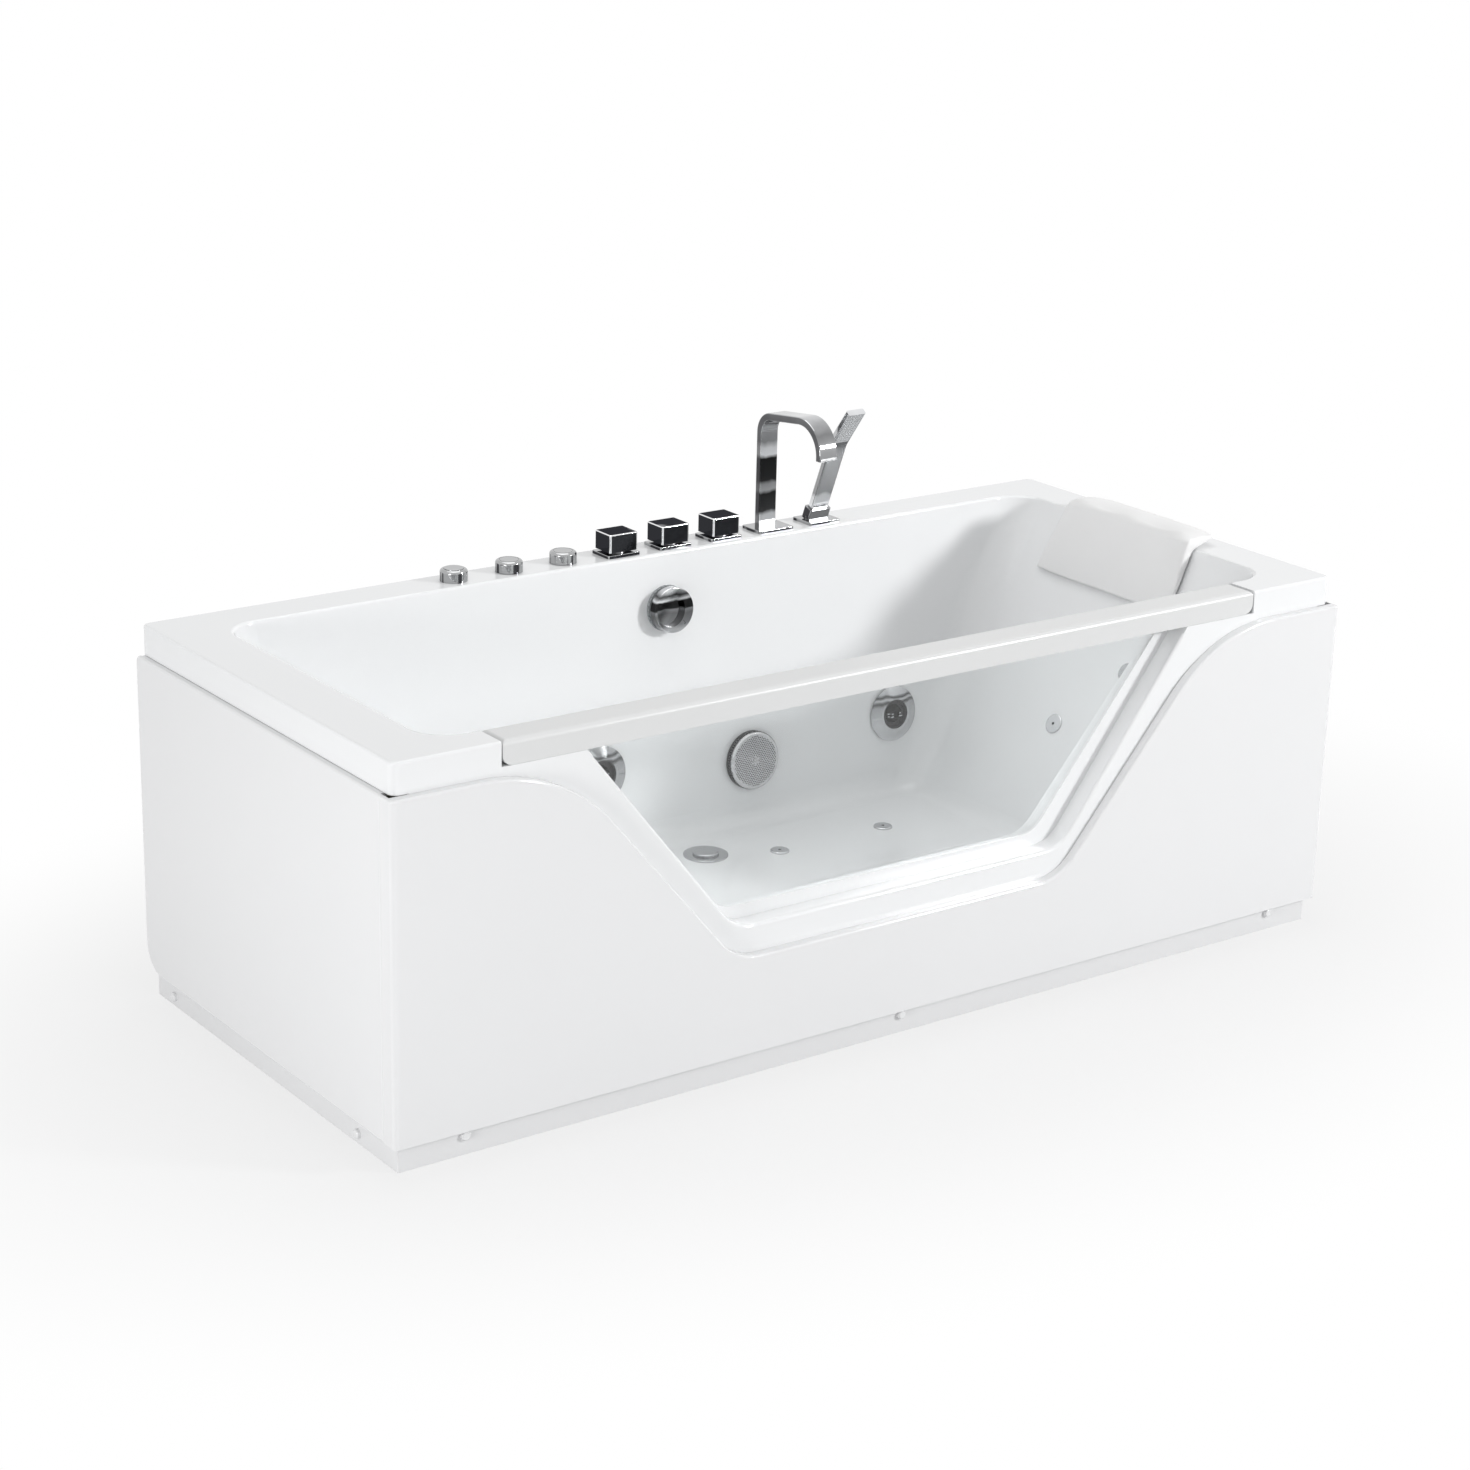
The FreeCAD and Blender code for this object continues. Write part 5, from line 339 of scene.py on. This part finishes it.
def chrome(name, colour, roughness=0.07):
    """Plain chrome plating with light wear."""
    material, tree, shader = new_material(name)
    wear = noise(tree, 60.0, 5.0, 0.6)
    tint(tree, shader, wear, colour, 0.94, 1.06)
    roughen(tree, shader, wear, roughness * 0.6, roughness * 1.6)
    shader.inputs["Metallic"].default_value = 1.0
    bumped(tree, shader, noise(tree, 25.0, 2.0), 0.04, 0.0003)
    return material


def facing(tree, axis, low, high):
    """How far a face of the piece points along one of its own axes, from 0 at low to 1 at high."""
    normal = node(tree, "ShaderNodeTexCoord").outputs["Normal"]
    return spread(tree, calculate(tree, "ABSOLUTE", part_of(tree, normal, axis)), 0.0, 1.0, low, high)


def plated_shader(name, tone):
    """Polished plating whose base colour comes from tone, a function that is given the node tree."""
    material, tree, shader = new_material(name)
    tree.links.new(tone(tree), shader.inputs["Base Color"])
    roughen(tree, shader, noise(tree, 60.0, 5.0, 0.6), 0.04, 0.1)
    shader.inputs["Metallic"].default_value = 1.0
    bumped(tree, shader, noise(tree, 25.0, 2.0), 0.04, 0.0003)
    return material


def stretched_noise(tree, size, detail=2.0):
    scaled = node(tree, "ShaderNodeVectorMath", {0: place(tree), 1: size}, operation="MULTIPLY").outputs[0]
    return noise(tree, 1.0, detail, 0.45, scaled)


def chrome_with_painted_reflections(name, bright, dark, faces, reflection_streak_size, share):
    """Chrome with painted reflections: its edges bright, its flat faces painted dark and broken by painted
    bright streaks.
    """
    def tone(tree):
        flat = facing(tree, faces[0], *FLAT_FACE)
        for axis in faces[1:]:
            flat = calculate(tree, "MAXIMUM", flat, facing(tree, axis, *FLAT_FACE))
        pattern = stretched_noise(tree, reflection_streak_size)
        streaks = spread(tree, pattern, 0.0, 1.0, share - REFLECTION_STREAK_EDGE, share + REFLECTION_STREAK_EDGE)
        return two_tones(tree, calculate(tree, "MULTIPLY", flat, streaks), bright, dark)
    return plated_shader(name, tone)


def chrome_with_painted_reflection_bands(name, heights, bands, waver=0.04, painted_side_share=0.0):
    """Chrome with painted light and dark reflection bands up its height, each given by where it starts and
    by its grey, and a painted dark reflection on its sides.
    """
    def tone(tree):
        level = spread(tree, part_of(tree, place(tree), "Z"), 0.0, 1.0, *heights)
        drift = spread(tree, stretched_noise(tree, (40.0, 40.0, 25.0)), -waver, waver)
        ramp = node(tree, "ShaderNodeValToRGB", {"Fac": calculate(tree, "ADD", level, drift)})
        stops = ramp.color_ramp.elements
        while len(stops) > 1:
            stops.remove(stops[-1])
        for start, grey in bands:
            stops.new(start).color = (*shade(PAINTED_REFLECTION_TINT, grey), 1)
        stops.remove(stops[0])
        sides = spread(tree, facing(tree, "X", 0.8, 0.98), 0.0, painted_side_share)
        return blend(tree, sides, ramp.outputs["Color"], PAINTED_SIDE_REFLECTION)
    return plated_shader(name, tone)


def chrome_with_painted_pore_shade(name, bright, dark):
    """Chrome of a pierced cover: bright on its front, painted dark as shade in the pores and in the slots
    of its rim.
    """
    def tone(tree):
        return two_tones(tree, facing(tree, "Y", 0.35, 0.75), dark, bright)
    return plated_shader(name, tone)


def necked_brass(name, brass_colour, plate_and_shade_colour):
    """Turned brass under the deck, plated where it shows above it, in a dark grey that also stands as
    painted shade in the gap under the handles.
    """
    material, tree, shader = new_material(name)
    above = calculate(tree, "GREATER_THAN", part_of(tree, place(tree), "Z"), NECK_PLATED_FROM)
    tarnish = noise(tree, 90.0, 6.0, 0.65)
    brass = two_tones(tree, tarnish, shade(brass_colour, 0.72), shade(brass_colour, 1.15))
    tree.links.new(blend(tree, above, brass, (*plate_and_shade_colour, 1)), shader.inputs["Base Color"])
    roughen(tree, shader, tarnish, 0.3, 0.14)
    shader.inputs["Metallic"].default_value = 1.0
    bumped(tree, shader, noise(tree, 260.0, 2.0), 0.1, 0.0002)
    return material


def window_glass(name, colour):
    """Clear glass that lets nearly all the light of the lamps through."""
    material, tree, shader = new_material(name)
    haze = noise(tree, 12.0, 3.0)
    tint(tree, shader, haze, colour, 0.99, 1.01)
    roughen(tree, shader, haze, 0.0, 0.02)
    shader.inputs["Transmission Weight"].default_value = 1.0
    shader.inputs["IOR"].default_value = 1.45
    shadow = node(tree, "ShaderNodeLightPath").outputs["Is Shadow Ray"]
    tree.links.new(spread(tree, shadow, 1.0, 0.08), shader.inputs["Alpha"])
    return material


def moulded(name, colour, roughness=0.42, grain=220.0, depth=0.0003):
    """Moulded plastic, rubber or thick paint with a fine grain."""
    material, tree, shader = new_material(name)
    tone = noise(tree, 14.0, 4.0)
    tint(tree, shader, tone, colour, 0.9, 1.1)
    roughen(tree, shader, noise(tree, 30.0), roughness * 0.85, min(1.0, roughness * 1.2))
    bumped(tree, shader, noise(tree, grain, 2.0), 0.35, depth)
    return material


def soft_skin(name, colour):
    """The finely pitted skin of a soft moulding."""
    material, tree, shader = new_material(name)
    tone = noise(tree, 5.0, 3.0)
    tint(tree, shader, tone, colour, 0.985, 1.01)
    bumped(tree, shader, cells(tree, 620.0, "Distance"), 0.22, 0.0002)
    roughen(tree, shader, noise(tree, 18.0), 0.34, 0.46)
    shader.inputs["Sheen Weight"].default_value = 0.08
    return material


def spangled_zinc(name, colour):
    """Galvanised steel with its crystal pattern."""
    material, tree, shader = new_material(name)
    grey = part_of(tree, cells(tree, 130.0, "Color"), "X")
    tint(tree, shader, grey, colour, 0.78, 1.15)
    roughen(tree, shader, grey, 0.32, 0.52)
    shader.inputs["Metallic"].default_value = 0.9
    bumped(tree, shader, noise(tree, 300.0, 2.0), 0.15, 0.0002)
    return material


def chip_board(name, light, dark):
    """Pressed flakes of wood, light and dark."""
    material, tree, shader = new_material(name)
    grey = part_of(tree, cells(tree, 170.0, "Color"), "X")
    tree.links.new(two_tones(tree, grey, dark, light), shader.inputs["Base Color"])
    roughen(tree, shader, noise(tree, 80.0), 0.65, 0.85)
    bumped(tree, shader, grey, 0.4, 0.0004)
    return material


def bare_metal(name, colour, roughness):
    """Turned or drawn metal with patches of tarnish."""
    material, tree, shader = new_material(name)
    tarnish = noise(tree, 90.0, 6.0, 0.65)
    tint(tree, shader, tarnish, colour, 0.72, 1.15)
    roughen(tree, shader, tarnish, roughness * 1.4, roughness * 0.7)
    shader.inputs["Metallic"].default_value = 1.0
    bumped(tree, shader, noise(tree, 260.0, 2.0), 0.12, 0.0002)
    return material


def clear_bead(name, colour):
    """Milky clear sealant or soft plastic."""
    material, tree, shader = new_material(name)
    tone = noise(tree, 40.0)
    tint(tree, shader, tone, colour, 0.95, 1.05)
    roughen(tree, shader, tone, 0.2, 0.35)
    shader.inputs["Transmission Weight"].default_value = 0.3
    return material


# ------------------------------------------------------------------ shape bricks
def deselect():
    bpy.ops.object.select_all(action="DESELECT")


def choose(piece):
    deselect()
    piece.select_set(True)
    bpy.context.view_layer.objects.active = piece


def settle(piece, name, body, material, replaced=()):
    """Freezes the piece's place into its mesh, names it, gives it its finish and its body."""
    choose(piece)
    bpy.ops.object.transform_apply(location=True, rotation=True, scale=True)
    piece.name = name
    piece.data.name = name
    piece.data.materials.clear()
    piece.data.materials.append(material)
    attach(piece, body)
    if replaced:
        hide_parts(*replaced)
    return piece


def merged_copy(node_name, name):
    """A copy of a CAD piece with its loose triangles joined, chosen and ready to be worked on."""
    piece = bpy.data.objects.new(name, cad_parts[node_name].data.copy())
    bpy.context.scene.collection.objects.link(piece)
    choose(piece)
    bpy.ops.object.mode_set(mode="EDIT")
    bpy.ops.mesh.select_all(action="SELECT")
    bpy.ops.mesh.remove_doubles(threshold=MERGE_DISTANCE)
    bpy.ops.object.mode_set(mode="OBJECT")
    return piece


def pick_faces(piece, test):
    """Leaves only the faces that pass the test selected, ready for edit mode."""
    bpy.ops.object.mode_set(mode="EDIT")
    bpy.ops.mesh.select_mode(type="FACE")
    bpy.ops.mesh.select_all(action="DESELECT")
    bpy.ops.object.mode_set(mode="OBJECT")
    for face in piece.data.polygons:
        face.select = test(face)
    bpy.ops.object.mode_set(mode="EDIT")


def turned_to(direction):
    return Vector(direction).to_track_quat("Z", "Y").to_euler()


def collar_ring(centre, direction, inner, wall, length, edge, sides=40):
    """A short sleeve with bevelled rims: a tube that is given its wall outwards, then bevelled."""
    deselect()
    bpy.ops.mesh.primitive_cylinder_add(
        vertices=sides, radius=inner, depth=length, end_fill_type="NOTHING", location=centre,
        rotation=turned_to(direction))
    ring = bpy.context.active_object
    skin = ring.modifiers.new("wall", "SOLIDIFY")
    skin.thickness = wall
    skin.offset = 1
    bpy.ops.object.modifier_apply(modifier=skin.name)
    rims = ring.modifiers.new("rims", "BEVEL")
    rims.width = edge
    rims.segments = 2
    rims.limit_method = "ANGLE"
    bpy.ops.object.modifier_apply(modifier=rims.name)
    bpy.ops.object.shade_smooth_by_angle(angle=SMOOTH_ANGLE)
    return ring


def copy_of(piece, shift):
    """A twin with a mesh of its own, moved by the shift."""
    twin = piece.copy()
    twin.data = piece.data.copy()
    bpy.context.scene.collection.objects.link(twin)
    twin.location = piece.location + Vector(shift)
    return twin


def as_one(pieces):
    deselect()
    for piece in pieces:
        piece.select_set(True)
    bpy.context.view_layer.objects.active = pieces[0]
    bpy.ops.object.join()
    return pieces[0]


# ------------------------------------------------------------------ operators
class BATH_OT_finishes(bpy.types.Operator):
    """Gives every CAD piece of the bath its surface finish"""
    bl_idname = "bath.finishes"
    bl_label = "Finish the Bath's Pieces"

    def execute(self, context):
        settings = context.scene.bath_finish
        tub = tub_acrylic("tub acrylic with resin back", settings.tub_colour, (0.62, 0.60, 0.50))
        rail = gloss_acrylic("rail acrylic", settings.rail_colour, 0.3, 0.08)
        panel = gloss_acrylic("apron acrylic", settings.panel_colour, 0.12)
        plinth = gloss_acrylic("plinth board", shade(settings.panel_colour, 0.97), 0.3)
        plated = chrome("chrome plating", settings.chrome_colour)
        # The valve handles, round knobs and deck plates get painted reflections: dark flat faces, bright
        # edges and bright streaks.
        handle = chrome_with_painted_reflections("block handle chrome with painted reflections", (0.9, 0.9, 0.91), settings.painted_dark_reflection, "XYZ",
                             (9.0, 9.0, 30.0), 0.34)
        handle_edge = handle.node_tree.nodes["Principled BSDF"].inputs["Specular Tint"]
        handle_edge.default_value = (0.4, 0.4, 0.41, 1)
        # The spout, hand shower, overflow and jets get painted reflection bands up their height.
        strap = chrome_with_painted_reflection_bands("strap spout chrome with painted reflections", TAP_REFLECTION_BANDS, (
            (0.0, 0.75), (0.1, 0.6), (0.13, 0.05), (0.26, 0.03), (0.29, 0.4), (0.34, 0.32), (0.37, 0.03),
            (0.56, 0.02), (0.59, 0.85), (0.65, 0.75), (0.7, 0.3), (0.8, 0.38), (0.9, 0.24), (1.0, 0.55)),
            painted_side_share=0.8)
        wand = chrome_with_painted_reflection_bands("hand shower chrome with painted reflections", TAP_REFLECTION_BANDS, (
            (0.0, 0.7), (0.08, 0.08), (0.12, 0.75), (0.2, 0.62), (0.23, 0.3), (0.55, 0.36), (0.68, 0.22),
            (0.74, 0.5), (0.9, 0.62), (1.0, 0.8)))
        knob = chrome_with_painted_reflections("round knob chrome with painted reflections", (0.42, 0.425, 0.43), (0.05, 0.05, 0.055), "XY",
                           (110.0, 110.0, 4.0), 0.46)
        plate = chrome_with_painted_reflections("deck plate chrome with painted reflections", (0.4, 0.405, 0.41), (0.04, 0.04, 0.045), "XY",
                            (30.0, 30.0, 30.0), 0.42)
        overflow = chrome_with_painted_reflection_bands("overflow chrome with painted reflections", OVERFLOW_REFLECTION_BANDS, (
            (0.0, 0.5), (0.1, 0.62), (0.2, 0.3), (0.42, 0.2), (0.5, 0.32), (0.53, 0.03), (0.7, 0.025),
            (0.74, 0.8), (0.79, 0.3), (0.83, 0.05), (0.88, 0.4), (0.94, 0.7), (1.0, 0.6)), 0.05)
        jet_ring = chrome_with_painted_reflection_bands("jet ring chrome with painted reflections", JET_RING_REFLECTION_BANDS, (
            (0.0, 0.75), (0.12, 0.6), (0.5, 0.55), (0.66, 0.45), (0.72, 0.06), (0.77, 0.6),
            (0.82, 0.04), (0.87, 0.6), (1.0, 0.7)), 0.08)
        nozzle = chrome_with_painted_reflection_bands("jet nozzle chrome with painted reflections", JET_NOZZLE_REFLECTION_BANDS, (
            (0.0, 0.03), (0.4, 0.025), (0.44, 0.75), (0.49, 0.03), (0.54, 0.03), (0.58, 0.8), (0.62, 0.03),
            (1.0, 0.025)), 0.06)
        # The suction cover gets painted shade in its pores and slots.
        grille = chrome_with_painted_pore_shade("suction cover chrome with painted pore shade", (0.62, 0.62, 0.63), (0.05, 0.05, 0.055))
        air_cap = chrome("air jet chrome", shade(settings.chrome_colour, 1.2), 0.12)
        # The plated neck's dark grey also serves as painted shade in the gap under the handles.
        neck = necked_brass("valve brass with plated neck and painted shade", BRASS, (0.3, 0.3, 0.31))
        glass = window_glass("clear window glass", settings.glass_colour)
        bead = clear_bead("clear sealing bead", (0.72, 0.74, 0.74))
        zinc = bare_metal("zinc plated steel", (0.62, 0.61, 0.56), 0.32)
        frame_tube = spangled_zinc("galvanised tube", (0.50, 0.52, 0.53))
        board = chip_board("chipboard", (0.56, 0.44, 0.29), (0.34, 0.24, 0.14))
        brass = bare_metal("turned brass", BRASS, 0.25)
        black = moulded("black moulding", (0.035, 0.036, 0.038), 0.45)
        cup = clear_bead("clear suction cup", (0.66, 0.70, 0.70))
        bellows = moulded("black rubber", RUBBER, 0.6)
        spray = moulded("grey spray plate", (0.50, 0.51, 0.52), 0.4)
        grey_pipe = moulded("grey waste pipe", (0.36, 0.38, 0.39), 0.4)
        white_pipe = moulded("white pipe", (0.74, 0.74, 0.70), 0.36)
        copper = bare_metal("copper pipe", (0.72, 0.38, 0.22), 0.26)
        motor = moulded("hammered grey paint", (0.22, 0.24, 0.26), 0.35, 90.0, 0.0006)
        steel = bare_metal("ground steel", (0.58, 0.58, 0.58), 0.2)
        lead = moulded("black cable sheath", (0.025, 0.025, 0.028), 0.5)
        finishes = {
            "tub_shell": tub, "floor_board": board, "window_glass": glass, "window_seal": bead,
            "window_top_rail": rail, "front_panel": panel, "left_end_panel": panel,
            "right_end_panel": panel, "plinth_strips": plinth, "plinth_screws": panel,
            "panel_clips": zinc, "frame_tubes": frame_tube, "adjustable_feet": zinc,
            "foot_lock_nuts": zinc, "headrest": cup, "headrest_suckers": cup, "deck_nuts": brass,
            "left_air_knob": knob, "right_air_knob": knob, "air_regulators": plated,
            "air_button_housing": knob, "air_button_cap": knob, "air_button_bellows": bellows,
            "valve_plates": plate, "valve_bodies": neck, "left_valve_handle": handle,
            "middle_valve_handle": handle, "right_valve_handle": handle, "spout": strap,
            "spout_plate": plate, "hand_shower": wand, "shower_spray_face": spray,
            "shower_plate": plate, "overflow_knob": overflow, "overflow_body": grey_pipe,
            "overflow_pipe": grey_pipe, "drain_flange": plated, "drain_stopper": plated,
            "drain_trap": grey_pipe, "suction_cover": grille, "suction_body": black,
            "suction_screw": steel, "jet_bodies": black, "left_jet_ring": jet_ring,
            "left_jet_nozzle": nozzle, "right_jet_ring": jet_ring, "right_jet_nozzle": nozzle,
            "air_jets": air_cap, "pump_volute": black, "pump_motor_housing": motor,
            "pump_shaft": steel, "pump_impeller": black, "blower_case": black, "blower_fan": black,
            "pump_pipes": white_pipe, "air_pipes": white_pipe, "supply_pipes": copper,
            "control_box": black, "control_leads": lead,
        }
        for name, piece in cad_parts.items():
            piece.data.materials.clear()
            piece.data.materials.append(finishes[name])
        return {"FINISHED"}


class BATH_OT_headrest(bpy.types.Operator):
    """Makes the soft folded headrest from the CAD pad's form, filled and smoothed"""
    bl_idname = "bath.headrest"
    bl_label = "Make the Headrest"

    def execute(self, context):
        settings = context.scene.bath_headrest
        pad = merged_copy("headrest", "headrest_pad")
        pad.data.remesh_voxel_size = settings.voxel
        bpy.ops.object.voxel_remesh()
        smooth = pad.modifiers.new("relax", "SMOOTH")
        smooth.factor = 0.5
        smooth.iterations = 2
        bpy.ops.object.modifier_apply(modifier=smooth.name)
        bpy.ops.object.shade_smooth()
        skin = soft_skin("moulded headrest skin", context.scene.bath_finish.pad_colour)
        settle(pad, "headrest_pad", "headrest", skin, ["headrest"])
        return {"FINISHED"}


class BATH_OT_button_bellows(bpy.types.Operator):
    """Makes the rubber bellows under the air button from the CAD piece, smoothed by angle"""
    bl_idname = "bath.button_bellows"
    bl_label = "Make the Button Bellows"

    def execute(self, context):
        bellows = merged_copy("air_button_bellows", "button_bellows")
        bpy.ops.object.shade_smooth_by_angle(angle=SMOOTH_ANGLE)
        rubber = moulded("black bellows rubber", RUBBER, 0.6)
        settle(bellows, "button_bellows", "tub", rubber, ["air_button_bellows"])
        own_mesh(bellows)
        return {"FINISHED"}


class BATH_OT_spray_nubs(bpy.types.Operator):
    """Sets a soft rubber nub round each pore of the hand shower's spray face"""
    bl_idname = "bath.spray_nubs"
    bl_label = "Make the Spray Nubs"

    def execute(self, context):
        settings = context.scene.bath_details
        middle = HEAD_TIP - HEAD_UP * SPRAY_BELOW_TIP + HEAD_FRONT * HEAD_HALF_THICKNESS
        deselect()
        bpy.ops.mesh.primitive_cone_add(
            vertices=NUB_SIDES, radius1=settings.nub_radius, radius2=settings.nub_radius * NUB_TIP_SHARE,
            depth=settings.nub_height, location=middle + HEAD_FRONT * (settings.nub_height / 2),
            rotation=turned_to(HEAD_FRONT))
        nub = context.active_object
        pick_faces(nub, lambda face: face.normal.z > NUB_TOP_NORMAL_Z)
        bpy.ops.mesh.inset(thickness=settings.nub_radius * NUB_RIM_SHARE)
        sink = HEAD_FRONT * -settings.nub_height * NUB_PORE_SHARE
        bpy.ops.mesh.extrude_region_move(TRANSFORM_OT_translate={"value": tuple(sink)})
        bpy.ops.object.mode_set(mode="OBJECT")
        bpy.ops.object.shade_smooth_by_angle(angle=SMOOTH_ANGLE)
        nubs = [nub]
        for row in range(NUB_ROWS):
            for column in range(NUB_COLUMNS):
                sideways = Vector((NUB_PITCH * (column - (NUB_COLUMNS - 1) / 2), 0, 0))
                nubs.append(copy_of(nub, HEAD_UP * (NUB_PITCH * (row - (NUB_ROWS - 1) / 2)) + sideways))
        bpy.data.objects.remove(nubs.pop(0))
        rubber = moulded("pale nub rubber", (0.52, 0.53, 0.54), 0.5)
        settle(as_one(nubs), "spray_nubs", "hand_shower", rubber)
        return {"FINISHED"}


class BATH_OT_pipe_sockets(bpy.types.Operator):
    """Puts the thicker glued sockets on the white pressure pipe"""
    bl_idname = "bath.pipe_sockets"
    bl_label = "Make the Pipe Sockets"

    def execute(self, context):
        wall = context.scene.bath_details.socket_wall
        run = (PIPE_BEND_X - BEND_TO_SOCKET, PIPE_BRANCH_X + BRANCH_TO_SOCKET,
               PIPE_BRANCH_X - BRANCH_TO_SOCKET, PIPE_END_X + END_TO_SOCKET)
        places = [((x, PIPE_Y, PIPE_Z), (1, 0, 0)) for x in run]
        places += [((PIPE_BEND_X, y, PIPE_Z), (0, 1, 0)) for y in (PIPE_Y - BEND_TO_SOCKET, PUMP_SOCKET_Y)]
        white = moulded("white socket", (0.78, 0.78, 0.75), 0.3)
        for number, (centre, direction) in enumerate(places, 1):
            ring = collar_ring(centre, direction, PIPE_RADIUS, wall, SOCKET_LENGTH, SOCKET_EDGE)
            settle(ring, "pipe_socket_%d" % number, "tub", white)
        return {"FINISHED"}


# ------------------------------------------------------------------ stage
def lay_floor(settings):
    """A pale floor that turns plain white, as the camera sees it, further from the bath."""
    deselect()
    bpy.ops.mesh.primitive_plane_add(size=FLOOR_SIZE, location=(0, 0, -FLOOR_DROP))
    floor = bpy.context.active_object
    floor.name = "studio_floor"
    material, tree, shader = new_material("studio floor")
    tone = noise(tree, 0.6, 2.0)
    tint(tree, shader, tone, settings.floor_colour, 0.99, 1.01)
    shader.inputs["Roughness"].default_value = 0.9
    shader.inputs["Specular IOR Level"].default_value = 0.1
    flat = node(tree, "ShaderNodeVectorMath", {0: place(tree), 1: GLOW_STRETCH}, operation="MULTIPLY")
    reach = node(tree, "ShaderNodeVectorMath", {0: flat.outputs[0]}, operation="LENGTH")
    far = node(tree, "ShaderNodeMapRange", {
        "Value": reach.outputs["Value"], "From Min": settings.glow_start, "From Max": settings.glow_end,
        "To Min": settings.floor_glow, "To Max": 1.0}, interpolation_type="SMOOTHSTEP")
    share = calculate(tree, "MULTIPLY", seen_rays(tree), far.outputs["Result"])
    glow = node(tree, "ShaderNodeEmission", {"Color": WHITE, "Strength": 1.0})
    mixed_output(tree, share, shader.outputs[0], glow.outputs[0], "Material Output")
    floor.data.materials.append(material)


def light_sky(scene, settings):
    """An even light from all sides, behind a plain white that the camera sees."""
    world = bpy.data.worlds.new("studio sky")
    scene.world = world
    world.use_nodes = True
    tree = world.node_tree
    sky = tree.nodes["Background"]
    sky.inputs["Color"].default_value = WHITE
    sky.inputs["Strength"].default_value = settings.sky_strength
    plain = node(tree, "ShaderNodeBackground", {"Color": WHITE, "Strength": 1.0})
    mixed_output(tree, seen_rays(tree), sky.outputs[0], plain.outputs[0], "World Output")


def hang_lamps(scene, settings):
    """Three square lamps, each with its place, the point it shines at, its size and its power."""
    lamps = (
        ("key_lamp", (4.0, -4.6, 2.6), (0.0, 0.0, 0.4), 0.8, settings.key_power),
        ("side_lamp", (-3.4, -1.2, 0.45), (-0.85, 0.0, 0.3), 1.1, settings.side_power),
        ("top_lamp", (0.0, 0.6, 3.6), (0.0, 0.0, 0.4), 2.6, settings.top_power),
    )
    for name, spot, target, size, power in lamps:
        data = bpy.data.lights.new(name, "AREA")
        data.size = size
        data.energy = power
        lamp = bpy.data.objects.new(name, data)
        scene.collection.objects.link(lamp)
        lamp.location = spot
        lamp.rotation_euler = (Vector(target) - Vector(spot)).to_track_quat("-Z", "Y").to_euler()


def set_camera(scene):
    """The camera that looks at the bath from the front left, turned a little about its own axis."""
    back = (CAMERA_EYE - CAMERA_TARGET).normalized()
    right = Vector((0, 0, 1)).cross(back).normalized()
    up = back.cross(right)
    turned_right = right * math.cos(CAMERA_ROLL) + up * math.sin(CAMERA_ROLL)
    turned_up = up * math.cos(CAMERA_ROLL) - right * math.sin(CAMERA_ROLL)
    data = bpy.data.cameras.new("photo_camera")
    data.sensor_fit = "HORIZONTAL"
    data.sensor_width = CAMERA_SENSOR
    data.lens = CAMERA_SENSOR / 2 / math.tan(CAMERA_FIELD / 2)
    data.clip_end = CAMERA_REACH
    camera = bpy.data.objects.new("photo_camera", data)
    scene.collection.objects.link(camera)
    matrix = Matrix((turned_right, turned_up, back)).transposed().to_4x4()
    matrix.translation = CAMERA_EYE
    camera.matrix_world = matrix
    scene.camera = camera


class BATH_OT_stage(bpy.types.Operator):
    """Sets up the pale floor, the soft lamps, the sky and the camera"""
    bl_idname = "bath.stage"
    bl_label = "Set the Stage"

    def execute(self, context):
        scene = context.scene
        lay_floor(scene.bath_studio)
        light_sky(scene, scene.bath_studio)
        hang_lamps(scene, scene.bath_studio)
        set_camera(scene)
        scene.view_settings.view_transform = "Standard"
        return {"FINISHED"}


# ------------------------------------------------------------------ panel and registration
class BATH_PT_panel(bpy.types.Panel):
    """Lists the settings and the steps that dress the bath"""
    bl_label = "Jetted Bathtub"
    bl_idname = "BATH_PT_panel"
    bl_space_type = "VIEW_3D"
    bl_region_type = "UI"
    bl_category = "Bath"

    def draw(self, context):
        layout = self.layout
        for name, kind in SETTINGS.items():
            group = getattr(context.scene, name)
            for key in kind.__annotations__:
                layout.prop(group, key)
        for step in STEPS:
            layout.operator(step.bl_idname)


SETTINGS = {
    "bath_studio": BathStudioSettings,
    "bath_finish": BathFinishSettings,
    "bath_headrest": BathHeadrestSettings,
    "bath_details": BathDetailSettings,
}
STEPS = (BATH_OT_stage, BATH_OT_finishes, BATH_OT_headrest, BATH_OT_button_bellows, BATH_OT_spray_nubs,
         BATH_OT_pipe_sockets)
CLASSES = (*SETTINGS.values(), *STEPS, BATH_PT_panel)


def register():
    for item in CLASSES:
        bpy.utils.register_class(item)
    for name, group in SETTINGS.items():
        setattr(bpy.types.Scene, name, bpy.props.PointerProperty(type=group))


def unregister():
    for name in SETTINGS:
        delattr(bpy.types.Scene, name)
    for item in reversed(CLASSES):
        bpy.utils.unregister_class(item)


def main():
    register()
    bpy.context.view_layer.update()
    for step in STEPS:
        group, name = step.bl_idname.split(".")
        getattr(getattr(bpy.ops, group), name)()


if __name__ == "__main__":
    main()
